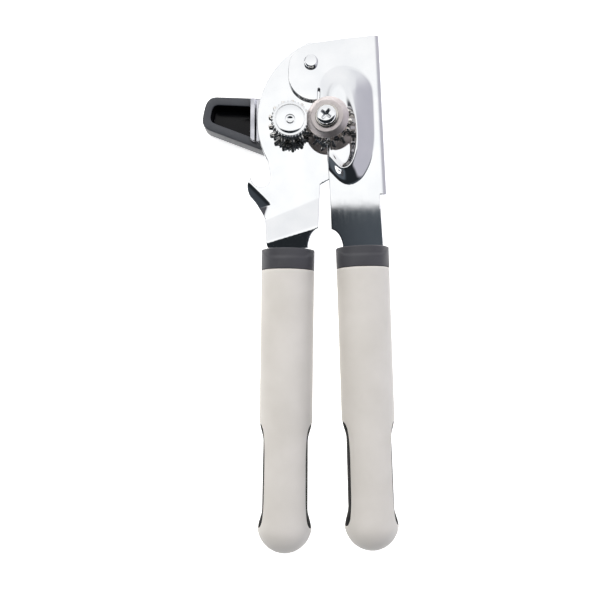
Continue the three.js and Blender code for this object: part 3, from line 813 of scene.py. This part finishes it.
def ground_steel(name, colour, shade):
    """Steel ground on a wheel: fine rings round the axis, drawn 0.35 mm apart so that they show."""
    material = bpy.data.materials.new(name)
    material.use_nodes = True
    tree = material.node_tree
    tree.nodes.clear()
    place = add(tree, "ShaderNodeTexCoord").outputs["Object"]
    centred = add(
        tree,
        "ShaderNodeMapping",
        {"vector_type": "TEXTURE"},
        {
            "Vector": place,
            "Location": tuple(cutter_place.translation),
            "Rotation": (0.0, -LEAN, 0.0),
        },
    ).outputs["Vector"]
    flat = add(
        tree,
        "ShaderNodeVectorMath",
        {"operation": "MULTIPLY"},
        {0: centred, 1: (1.0, 1.0, 0.0)},
    ).outputs["Vector"]
    radius = add(
        tree, "ShaderNodeVectorMath", {"operation": "LENGTH"}, {0: flat}
    ).outputs["Value"]
    rings = add(
        tree,
        "ShaderNodeTexNoise",
        {"noise_dimensions": "1D"},
        {"W": radius, "Scale": 2800.0, "Detail": 3.0, "Roughness": 0.6},
    ).outputs["Fac"]
    cloud = add(
        tree,
        "ShaderNodeTexNoise",
        inputs={"Vector": place, "Scale": 260.0, "Detail": 3.0},
    ).outputs["Fac"]
    both = add(
        tree, "ShaderNodeMix", inputs={0: 0.5, "A": rings, "B": cloud}
    ).outputs["Result"]
    tint = add(
        tree,
        "ShaderNodeValToRGB",
        {"stops": [(0.3, shade), (0.7, colour)]},
        {"Fac": both},
    ).outputs["Color"]
    gloss = add(
        tree,
        "ShaderNodeMapRange",
        inputs={"Value": rings, "To Min": 0.34, "To Max": 0.5},
    ).outputs["Result"]
    bump = add(
        tree,
        "ShaderNodeBump",
        inputs={"Strength": 1.0, "Distance": 0.008 * MM, "Height": rings},
    ).outputs["Normal"]
    shader = add(
        tree,
        "ShaderNodeBsdfPrincipled",
        inputs={
            "Base Color": tint,
            "Metallic": 1.0,
            "Roughness": gloss,
            "Normal": bump,
        },
    )
    add(tree, "ShaderNodeOutputMaterial", inputs={"Surface": shader.outputs["BSDF"]})
    return material


blade_steel = ground_steel("ground blade steel", "efe8e6", "d5ccca")
thrust_washer = rounded(
    [(3.35, -2.05), (5.0, -2.05), (5.0, -1.7), (3.35, -1.7)], 0.1, closed=True
)
fitted(
    "cutter_thrust_ring",
    [moved(lathe("thrust washer", thrust_washer, closed=True), cutter_place)],
    "right_arm",
    ["cutter_thrust_washer"],
    "gear_steel",
    turned_steel,
)
cutter_teeth = toothed("cutter teeth", GEAR_TEETH, tooth_rim, 3.35, -1.6, 1.6, 0.22, gear_steel)
cutter_hub = rounded(
    [(3.35, 0), (6.0, 0), (6.0, 1.62), (5.4, 2.2), (5.2, EDGE - 0.02), (3.35, EDGE - 0.02)],
    0.25,
    closed=True,
)
fitted(
    "cutter_gear_ring",
    [
        moved(cutter_teeth, cutter_place),
        moved(lathe("cutter hub", cutter_hub, closed=True), cutter_place),
    ],
    "cutter",
    ["cutter_gear"],
    "gear_steel",
    gear_steel,
)
disc_profile = rounded(
    [(3.4, EDGE), (8.45, EDGE), (DISC_RADIUS, EDGE + 0.08), (6.7, TOP - 0.12)]
    + [(6.4, TOP), (3.4, TOP)],
    0.08,
    closed=True,
)
fitted(
    "cutting_wheel_disc",
    [moved(lathe("disc", disc_profile, 128, closed=True, crease=30), cutter_place)],
    "cutter",
    ["cutting_wheel"],
    "blade_steel",
    blade_steel,
)
stud_profile = rounded(
    [(0, -3.55), (2.2, -3.55), (2.2, -2.1), (3.2, -2.1), (3.2, TOP + 0.1), (0, TOP + 0.1)],
    0.15,
)
fitted(
    "cutter_stud_pin",
    [moved(lathe("stud", stud_profile), cutter_place)],
    "right_arm",
    ["cutter_stud"],
    "gear_steel",
    turned_steel,
)
cutter_washer = rounded(
    [(1.9, TOP + 0.2), (4.75, TOP + 0.2), (4.75, TOP + 0.62), (4.3, TOP + 0.72)]
    + [(1.9, TOP + 0.72)],
    0.12,
    closed=True,
)
fitted(
    "cutter_washer_ring",
    [moved(lathe("cutter washer", cutter_washer, closed=True), cutter_place)],
    "right_arm",
    ["cutter_washer"],
    "chrome_steel",
    turned_steel,
)


def screw_head(radius, rise, seat, turn):
    """A pan head with a cross recess sunk into its crown, made as rings of heights."""
    radii = np.concatenate([np.linspace(0, 2.7, 28), np.linspace(2.8, radius - 0.25, 10)])
    turns = np.linspace(0, 2 * math.pi, 144, endpoint=False)
    points, faces = [], []
    for r in radii:
        for t in turns:
            x, y = r * math.cos(t - turn), r * math.sin(t - turn)
            arm = min(abs(x), abs(y))
            reach = max(abs(x), abs(y))
            side = 0.74 - 0.06 * reach
            sunk = float(soft((side - arm) / 0.3) * soft((2.4 - reach) / 0.4))
            crown = rise - 0.35 * (r / radius) ** 6
            z = seat + crown - sunk * (1.1 - 0.3 * reach)
            points.append((r * math.cos(t), r * math.sin(t), z))
    for r, z in ((radius, seat + rise - 0.85), (radius, seat + 0.15), (radius - 0.2, seat), (1.6, seat)):
        points += [(r * math.cos(t), r * math.sin(t), z) for t in turns]
    points += [(1.6 * math.cos(t), 1.6 * math.sin(t), seat - 5.8) for t in turns]
    points += [(0, 0, seat - 5.8) for t in turns]
    rows = len(points) // len(turns)
    for i in range(rows - 1):
        for j in range(len(turns)):
            k = (j + 1) % len(turns)
            a, b = i * len(turns), (i + 1) * len(turns)
            faces.append([a + j, b + j, b + k, a + k])
    return finished("screw", points, faces, 50)


fitted(
    "cutter_screw_head",
    [moved(screw_head(3.95, 1.7, TOP + 0.8, math.radians(-38)), cutter_place)],
    "right_arm",
    ["cutter_screw"],
    "chrome_steel",
    bright_chrome,
)


# ---------------------------------------------------------------- crank knob
# Moulded black ABS: two hollow wings round a solid hub. Outside it has a fine satin texture,
# and inside the wings the mould left it glossy; there its colour is painted darker as shade. A steel plate
# in the hub takes the shaft.


def moulded_plastic(name, colour, shade, roughness, grain, depth, mirror=0.5):
    """Moulded plastic: a fine even grain, slightly uneven in tone and gloss. Grain is the size
    of its texture and depth is how high that stands, both in millimetres; mirror is the
    strength of its gloss."""
    material = bpy.data.materials.new(name)
    material.use_nodes = True
    tree = material.node_tree
    tree.nodes.clear()
    place = add(tree, "ShaderNodeTexCoord").outputs["Object"]
    cloud = add(
        tree,
        "ShaderNodeTexNoise",
        inputs={"Vector": place, "Scale": 70.0, "Detail": 4.0, "Roughness": 0.5},
    ).outputs["Fac"]
    pores = add(
        tree,
        "ShaderNodeTexNoise",
        inputs={"Vector": place, "Scale": 1000.0 / grain, "Detail": 2.0},
    ).outputs["Fac"]
    tint = add(
        tree,
        "ShaderNodeValToRGB",
        {"stops": [(0.3, shade), (0.7, colour)]},
        {"Fac": cloud},
    ).outputs["Color"]
    gloss = add(
        tree,
        "ShaderNodeMapRange",
        inputs={
            "Value": cloud,
            "From Min": 0.3,
            "From Max": 0.7,
            "To Min": roughness[0],
            "To Max": roughness[1],
        },
    ).outputs["Result"]
    bump = add(
        tree,
        "ShaderNodeBump",
        inputs={"Strength": 1.0, "Distance": depth * MM, "Height": pores},
    ).outputs["Normal"]
    shader = add(
        tree,
        "ShaderNodeBsdfPrincipled",
        inputs={
            "Base Color": tint,
            "Roughness": gloss,
            "Normal": bump,
            "IOR": 1.5,
            "Specular IOR Level": mirror,
        },
    )
    add(tree, "ShaderNodeOutputMaterial", inputs={"Surface": shader.outputs["BSDF"]})
    return material


satin_black = moulded_plastic(
    "satin moulded ABS, black", "42454a", "393b40", (0.34, 0.46), 0.35, 0.012
)
# The hollows' gloss is the mould's; their much darker colour is painted shade.
hollow_black_painted_shade = moulded_plastic(
    "glossy moulded ABS, black", "111114", "0b0b0d", (0.1, 0.16), 1.5, 0.002, 0.18
)
crank_place = Matrix.Rotation(math.radians(168.5), 4, "Z")
KNOB_BACK = 0.3
KNOB_FRONT = 9.5


def shrunk(loop, inset):
    """A closed outline moved inwards."""
    p = np.array(loop)
    along = np.roll(p, -1, 0) - np.roll(p, 1, 0)
    along /= np.linalg.norm(along, axis=1)[:, None]
    return p - inset * np.stack([along[:, 1], -along[:, 0]], 1)


def lofted(loops, capped=(True, True)):
    """Points and faces of a skin through loops of equal length, each x, y pairs and a height."""
    points, faces = [], []
    count = len(loops[0][0])
    for loop, z in loops:
        points += [(x, y, z) for x, y in loop]
    for i in range(len(loops) - 1):
        for j in range(count):
            k = (j + 1) % count
            a, b = i * count, (i + 1) * count
            faces.append([a + j, a + k, b + k, b + j])
    if capped[0]:
        faces.append(list(range(count))[::-1])
    if capped[1]:
        faces.append([(len(loops) - 1) * count + j for j in range(count)])
    return points, faces


def knob_outline():
    half = [(37.5, -1.6), (37.5, 1.6)]
    half += curve((37.5, 1.6), (37.5, 6.9), (32.9, 7.5), 8)
    half += [(5.0, 12.2)] + curve((5.0, 12.2), (0, 13.2), (-5.0, 12.2), 8)
    half += [(-32.9, 7.5)] + curve((-32.9, 7.5), (-37.5, 6.9), (-37.5, 1.6), 8)
    return evenly(half + [(-x, -y) for x, y in half], 0.8)


def wing_outline(side):
    """The hollow in one wing, from the hub to the tip."""
    loop = [(11.6, -7.3), (31.6, -4.1)]
    loop += curve((31.6, -4.1), (34.2, -3.7), (34.2, -1.1), 6)
    loop += [(34.2, 1.1)] + curve((34.2, 1.1), (34.2, 3.7), (31.6, 4.1), 6)
    loop += [(11.6, 7.3)]
    loop = evenly(rounded(loop, 0.8, closed=True), 0.8)
    return [(x * side, y * side) for x, y in loop]


def knob_mesh():
    outer = knob_outline()
    turns = np.radians([0, 22.5, 45, 67.5, 90])
    loops = [(shrunk(outer, 1.4 * (1 - math.sin(t))), KNOB_BACK + 1.4 * (1 - math.cos(t))) for t in turns]
    loops += [(shrunk(outer, 0), 5.0)]
    loops += [
        (shrunk(outer, 0.5 * (1 - math.cos(t))), KNOB_FRONT - 0.5 * (1 - math.sin(t)))
        for t in turns
    ]
    points, faces = lofted(loops, (True, False))
    slots = [0] * len(faces)
    rims = [list(range(len(points) - len(outer), len(points)))]
    for side in (1, -1):
        hole = wing_outline(side)
        inner = [
            (shrunk(hole, -0.4 * (1 - math.sin(t))), KNOB_FRONT - 0.4 * (1 - math.cos(t)))
            for t in turns
        ]
        inner += [(shrunk(hole, 0.15), 6.0), (shrunk(hole, 0.3), 3.5)]
        inner += [(shrunk(hole, 0.7), 2.95), (shrunk(hole, 1.3), 2.8)]
        more, skin = lofted(inner, (False, True))
        start = len(points)
        points += more
        faces += [[start + i for i in reversed(f)] for f in skin]
        count = len(hole)
        # The deeper walls and floor of each hollow take the second material, painted darker as shade.
        slots += [0 if i < 3 * count else 1 for i in range(len(skin))]
        rims.append([start + i for i in range(count)])
    bm = bmesh.new()
    edges = []
    for rim in rims:
        ring = [bm.verts.new(points[i]) for i in rim]
        for v, i in zip(ring, rim):
            v.index = i
        edges += [bm.edges.new((a, b)) for a, b in zip(ring, ring[1:] + ring[:1])]
    numbers = {v: i for rim in [sum(rims, [])] for v, i in zip(bm.verts, rim)}
    filled = bmesh.ops.triangle_fill(bm, edges=edges, use_beauty=True)["geom"]
    for face in filled:
        if isinstance(face, bmesh.types.BMFace):
            faces.append([numbers[v] for v in face.verts])
            slots.append(0)
    bm.free()
    return finished("knob", points, faces, 50, slots)


fitted(
    "crank_knob_wings",
    [moved(knob_mesh(), crank_place)],
    "crank",
    ["crank_knob"],
    "knob_black",
    satin_black,
    hollow_black_painted_shade,
)
cap_profile = rounded([(0, 0.02), (6.9, 0.02), (7.9, 0.55), (7.9, 1.45), (0, 1.45)], 0.3)
fitted(
    "crank_cap_disc",
    [lathe("cap", cap_profile)],
    "crank",
    ["crank_cap"],
    "knob_black",
    satin_black,
)
plate_loop = evenly(
    rounded([(-10.4, -4.4), (10.4, -4.4), (10.4, 4.4), (-10.4, 4.4)], 1.0, closed=True), 0.8
)
plate_points, plate_faces = lofted(
    [(shrunk(plate_loop, 0.3), 7.6), (plate_loop, 7.9), (plate_loop, 9.3)]
    + [(shrunk(plate_loop, 0.3), 9.58)]
)
fitted(
    "crank_plate",
    [moved(finished("plate", plate_points, plate_faces), crank_place)],
    "crank",
    ["crank_insert_plate"],
    "chrome_steel",
    turned_steel,
)


# ---------------------------------------------------------------- handles
# Each has a dark nylon core, moulded over the lever's tang, with a collar at its top, and a
# pale soft-touch sleeve moulded over it, open at both sides of the waist, where the core shows.

HANDLE_HALF = 10.95  # half width of the round end
FLATTEN = 9.2 / HANDLE_HALF  # thickness over width: the end rests on the table
LENGTH = 122.4
END = LENGTH - HANDLE_HALF  # where the round end begins
COLLAR = 9.0
WINDOW_MIDDLE = 91.6
WINDOW_HALF = 20.6
WINDOW_TURN = math.radians(40)
WAIST = 1.75  # how far the core's face lies below the handle's round


def half_width(s):
    """The handle's half width, from distance below the collar's top."""
    body = np.interp(
        s, [0, COLLAR, 30, 72, END], [10.95, 10.85, 10.78, 10.72, HANDLE_HALF]
    )
    ball = np.sqrt(np.clip(HANDLE_HALF**2 - np.clip(s - END, 0, None) ** 2, 0, None))
    return np.where(s > END, ball, body)


def handle_points(s, turn, inset=0.0):
    """Places on the handle, from distance below the collar's top and angle round it."""
    w = half_width(s)
    x = w * np.cos(turn)
    z = w * FLATTEN * np.sin(turn)
    n = np.stack([np.cos(turn) * FLATTEN, np.zeros_like(s), np.sin(turn)], 1)
    n /= np.linalg.norm(n, axis=1)[:, None]
    round_end = np.clip((s - END) / HANDLE_HALF, 0, 1)[:, None]
    n = n * np.sqrt(1 - round_end**2) + np.array([0, -1.0, 0]) * round_end
    return np.stack([x, -s, z], 1) - n * np.asarray(inset)[..., None]


def window_share(s, turn):
    """1 on a window's edge, less inside it and more outside, for the nearer of the two."""
    off = np.abs((turn + math.pi / 2) % math.pi - math.pi / 2) / WINDOW_TURN
    along = np.abs(s - WINDOW_MIDDLE) / WINDOW_HALF
    return (off**4.0 + along**4.0) ** 0.25


def sleeve_mesh():
    """The sleeve: rows along it and columns round it, with rings of cells about each window."""
    around = 72
    half_way = around // 2
    cell = 2 * math.pi / around
    rows = [9.0, 9.02, 9.1, 9.25, 9.5] + list(np.linspace(10.5, 66, 32))
    insets = [1.4, 0.5, 0.22, 0.07, 0.0] + [0.0] * 32
    block = list(np.linspace(66, 117, 44))[1:]
    rows += block
    insets += [0.0] * len(block)
    last = math.asin((117 - END) / HANDLE_HALF)
    rows += [END + HANDLE_HALF * math.sin(t) for t in np.linspace(last, math.pi / 2, 9)[1:]]
    insets += [0.0] * 8
    columns = np.linspace(0, 2 * math.pi, around, endpoint=False)
    first, final = rows.index(66.0), rows.index(117.0)
    reach = 11  # columns each way from a window's middle
    s_grid, t_grid = np.meshgrid(rows, columns, indexing="ij")
    points = handle_points(s_grid.ravel(), t_grid.ravel(), np.repeat(insets, around))
    points = [tuple(p) for p in points]
    faces = []
    for i in range(len(rows) - 1):
        for j in range(around):
            near = min((j - c) % around for c in (around - reach, half_way - reach))
            if first <= i < final and near < 2 * reach:
                continue
            k = (j + 1) % around
            low, high = i * around, (i + 1) * around
            faces.append([low + j, low + k, high + k, high + j])
    for middle in (0, half_way):
        frame_loop = [(first, c) for c in range(-reach, reach)]
        frame_loop += [(r, reach) for r in range(first, final)]
        frame_loop += [(final, c) for c in range(reach, -reach, -1)]
        frame_loop += [(r, -reach) for r in range(final, first, -1)]
        outer = [r * around + (c + middle) % around for r, c in frame_loop]
        s0 = np.array([rows[r] for r, _ in frame_loop])
        t0 = np.array([c * cell for _, c in frame_loop])
        q = np.stack([(s0 - WINDOW_MIDDLE) / 25.5, t0 / (reach * cell)])
        q /= np.abs(q).max(0)
        size = (np.abs(q[0]) ** 4.0 + np.abs(q[1]) ** 4.0) ** 0.25
        s1 = WINDOW_MIDDLE + WINDOW_HALF * q[0] / size
        t1 = WINDOW_TURN * q[1] / size
        previous = outer
        steps = [(f, 0.0) for f in (0.2, 0.4, 0.6, 0.75, 0.86, 0.92)]
        steps += [(0.95, 0.04), (0.975, 0.18), (0.992, 0.42), (1.0, 0.8), (1.0, 1.4)]
        for share, inset in steps:
            s = s0 + (s1 - s0) * share
            t = t0 + (t1 - t0) * share + middle * cell
            ring = handle_points(s, t, np.full(len(s), inset))
            start = len(points)
            points += [tuple(p) for p in ring]
            current = list(range(start, start + len(outer)))
            for a in range(len(outer)):
                b = (a + 1) % len(outer)
                faces.append([previous[a], previous[b], current[b], current[a]])
            previous = current
    bm = bmesh.new()
    made = [bm.verts.new(Vector(p) * MM) for p in points]
    for face in faces:
        bm.faces.new([made[c] for c in face])
    bmesh.ops.remove_doubles(bm, verts=bm.verts, dist=2e-6)
    bmesh.ops.recalc_face_normals(bm, faces=bm.faces)
    return creased("sleeve", bm, 60)


def core_mesh():
    """The core under the sleeve, standing up to the windows' faces, and its collar."""
    around = 144
    rows = np.concatenate([np.linspace(8.7, 66, 12), np.linspace(67, 116, 70)])
    rows = np.concatenate([rows, END + HANDLE_HALF * np.sin(np.linspace(0.55, 1.5, 6))])
    columns = np.linspace(0, 2 * math.pi, around, endpoint=False)
    s, t = (g.ravel() for g in np.meshgrid(rows, columns, indexing="ij"))
    share = window_share(s, t)
    shown = 1 - soft((share - 1.015) / 0.08)
    off = np.abs((t + math.pi / 2) % math.pi - math.pi / 2) / WINDOW_TURN
    along = np.abs(s - WINDOW_MIDDLE)
    flat = 1 - soft((along - 13.5) / 7.5)
    face_inset = 0.28 + (WAIST - 0.25) * flat * np.clip(1 - off**2, 0, 1)
    inset = 1.7 + (face_inset - 1.7) * shown
    points = [tuple(p) for p in handle_points(s, t, inset)]
    faces = []
    for i in range(len(rows) - 1):
        for j in range(around):
            k = (j + 1) % around
            faces.append([i * around + j, i * around + k, (i + 1) * around + k, (i + 1) * around + j])
    faces.append(list(range(around))[::-1])
    faces.append([(len(rows) - 1) * around + j for j in range(around)])
    # The whole core takes the second, darker material as painted shade for the windows; the collar keeps
    # the first.
    core = finished("core", points, faces, 60, [1] * len(faces))

    profile = rounded(
        [(0, 0.5), (10.55, 0.5), (10.9, 0.9), (10.85, COLLAR - 0.1), (0, COLLAR - 0.1)], 0.15, 5
    )
    extra = []
    for (r0, s0), (r1, s1) in zip(profile, profile[1:]):
        count = max(1, int(math.dist((r0, s0), (r1, s1)) / 0.45))
        extra += [(r0 + (r1 - r0) * i / count, s0 + (s1 - s0) * i / count) for i in range(count)]
    extra.append(profile[-1])
    ring_points, ring_faces = [], []
    for r, s in extra:
        for t in columns:
            step = 4.6 * (1 - abs(math.cos(t)) ** 7)
            r_here = r - 0.32 * float(soft((step - s) / 0.7)) * min(1.0, r / 5)
            x, z = r_here * math.cos(t), r_here * FLATTEN * math.sin(t)
            ring_points.append((x, -s, z))
    for i in range(len(extra) - 1):
        for j in range(around):
            k = (j + 1) % around
            ring_faces.append([i * around + j, i * around + k, (i + 1) * around + k, (i + 1) * around + j])
    return [core, finished("collar", ring_points, ring_faces, 50)]


soft_grip = moulded_plastic(
    "soft-touch elastomer, warm pale grey", "d3d0cb", "cbc8c2", (0.5, 0.6), 0.3, 0.012
)
dark_nylon = moulded_plastic(
    "moulded nylon, charcoal", "45464a", "3b3b40", (0.4, 0.52), 0.35, 0.014
)
# The core is smoother where the windows show it than at its collar, and painted darker there as shade
# under the sleeve.
window_nylon_painted_shade = moulded_plastic(
    "moulded nylon, charcoal, smooth, painted darker as shade", "131314", "0e0e0f", (0.5, 0.6), 0.8, 0.006, 0.05
)
for side, x, y, splay in (("left", -0.85, -51.7, -0.67), ("right", 29.65, -50.7, 1.6)):
    place = Matrix.Translation((x * MM, y * MM, 13.6 * MM)) @ Matrix.Rotation(
        math.radians(splay), 4, "Z"
    )
    fitted(
        side + "_handle_core_collar",
        [moved(mesh, place) for mesh in core_mesh()],
        side + "_arm",
        [side + "_handle_core"],
        "core_dark",
        dark_nylon,
        window_nylon_painted_shade,
    )
    grip = fitted(
        side + "_grip_soft_sleeve",
        [moved(sleeve_mesh(), place)],
        side + "_arm",
        [side + "_grip_sleeve"],
        "grip_light",
        soft_grip,
    )
    wall = grip.modifiers.new("wall", "SOLIDIFY")
    wall.thickness = 1.2 * MM
    wall.offset = -1


# ---------------------------------------------------------------- floor, light and camera
# A plain pale table that the crank's cap and the handles' ends rest on, an overcast studio sky
# with a dark gap round the camera, and soft lamps.


def pale_floor():
    material = bpy.data.materials.new("pale table")
    material.use_nodes = True
    tree = material.node_tree
    tree.nodes.clear()
    shader = add(
        tree,
        "ShaderNodeBsdfPrincipled",
        inputs={
            "Base Color": linear("f4f4f4"),
            "Roughness": 0.9,
            "Emission Color": linear("ffffff"),
            "Emission Strength": 0.8,
        },
    )
    add(tree, "ShaderNodeOutputMaterial", inputs={"Surface": shader.outputs["BSDF"]})
    return material


FLOOR_SLOPE = 4.4 / 155.5  # the opener lies on its cap and the handles' ends
floor_mesh = bpy.data.meshes.new("floor")
reach = 3.0
floor_mesh.from_pydata(
    [
        (px * reach, py * reach, -FLOOR_SLOPE * (py * reach + 0.008))
        for px, py in ((-1, -1), (1, -1), (1, 1), (-1, 1))
    ],
    [],
    [(0, 1, 2, 3)],
)
floor_mesh.materials.append(pale_floor())
floor = bpy.data.objects.new("floor", floor_mesh)
bpy.context.scene.collection.objects.link(floor)


def studio_sky():
    """Bright overhead and behind the head, greyer to the sides, and dark round the camera."""
    world = bpy.data.worlds.new("studio")
    bpy.context.scene.world = world
    world.use_nodes = True
    tree = world.node_tree
    tree.nodes.clear()
    direction = add(tree, "ShaderNodeTexCoord").outputs["Generated"]
    parts = add(tree, "ShaderNodeSeparateXYZ", inputs={"Vector": direction}).outputs
    up = add(
        tree, "ShaderNodeMath", {"operation": "MAXIMUM"}, {0: parts["Z"], 1: 0.05}
    ).outputs[0]

    def share(value, low, high, start=0.0, end=1.0):
        return add(
            tree,
            "ShaderNodeMapRange",
            {"interpolation_type": "SMOOTHSTEP"},
            {"Value": value, "From Min": low, "From Max": high, "To Min": start, "To Max": end},
        ).outputs["Result"]

    def maths(kind, a, b):
        return add(tree, "ShaderNodeMath", {"operation": kind}, {0: a, 1: b}).outputs[0]

    def blend(by, a, b):
        return add(tree, "ShaderNodeMix", {"data_type": "RGBA"}, {0: by, 6: a, 7: b}).outputs[2]

    # How far off the zenith a direction leans, to the right and towards the opener's head.
    right, ahead = maths("DIVIDE", parts["X"], up), maths("DIVIDE", parts["Y"], up)
    left = maths("MULTIPLY", right, -1.0)
    white = blend(share(ahead, 0.3, 0.55), (1.2, 1.2, 1.2, 1), (1.04, 1.04, 1.05, 1))
    turned = maths(
        "DIVIDE", ahead, maths("ADD", maths("ABSOLUTE", right, 0.0), 0.4)
    )
    grey = blend(
        share(turned, 0.4, 1.6), (0.56, 0.55, 0.61, 1), (0.9, 0.9, 0.93, 1)
    )
    overhead = blend(share(right, 0.12, 0.95), white, grey)
    overhead = blend(
        share(left, 0.8, 2.0), overhead, (0.1, 0.1, 0.11, 1)
    )
    gap = maths(
        "ADD",
        maths(
            "ADD",
            maths(
                "MULTIPLY", share(right, 0.0, 0.12, 0.0, 0.07), share(ahead, -0.4, 0.1)
            ),
            0.022,
        ),
        share(left, 0.5, 2.5, 0.0, 0.1),
    )
    gap = add(
        tree,
        "ShaderNodeCombineColor",
        inputs={
            "Red": maths("MULTIPLY", gap, 0.86),
            "Green": gap,
            "Blue": maths("MULTIPLY", gap, 1.16),
        },
    )
    off_line = maths(
        "DIVIDE", right, maths("ADD", maths("ABSOLUTE", ahead, 0.0), 0.3)
    )
    dark = blend(share(off_line, 0.9, 1.7), gap.outputs["Color"], grey)
    sky = blend(share(ahead, 0.198, 0.212), dark, overhead)
    back = add(tree, "ShaderNodeBackground", inputs={"Color": sky, "Strength": 1.0})
    add(tree, "ShaderNodeOutputWorld", inputs={"Surface": back.outputs["Background"]})


studio_sky()


def soft_lamp(name, place, size, watts, colour):
    """A square soft lamp that faces the middle of the opener and isn't mirrored in its plating."""
    data = bpy.data.lights.new(name, "AREA")
    data.shape = "SQUARE"
    data.size = size
    data.energy = watts
    data.color = linear(colour)[:3]
    lamp = bpy.data.objects.new(name, data)
    lamp.location = place
    aim = Vector((0.01, -0.07, 0.01)) - Vector(place)
    lamp.rotation_euler = aim.to_track_quat("-Z", "Y").to_euler()
    lamp.visible_glossy = False
    bpy.context.scene.collection.objects.link(lamp)


soft_lamp("key", (-0.45, 0.5, 0.85), 0.6, 9.0, "fffaf4")
soft_lamp("fill", (0.5, 0.1, 0.9), 0.8, 3.0, "f4f6ff")

camera_data = bpy.data.cameras.new("camera")
camera_data.sensor_width = 36
camera_data.lens = 41.214  # millimetres, as the sensor
camera_data.clip_start = 0.01
camera_data.clip_end = 20
camera = bpy.data.objects.new("camera", camera_data)
camera.location = (0.004034, -0.091449, 0.2946)
view = Vector((0.004034, -0.072749, 0.0136)) - camera.location
camera.rotation_euler = view.to_track_quat("-Z", "Y").to_euler()
bpy.context.scene.collection.objects.link(camera)
bpy.context.scene.camera = camera
bpy.context.scene.view_settings.view_transform = "Standard"
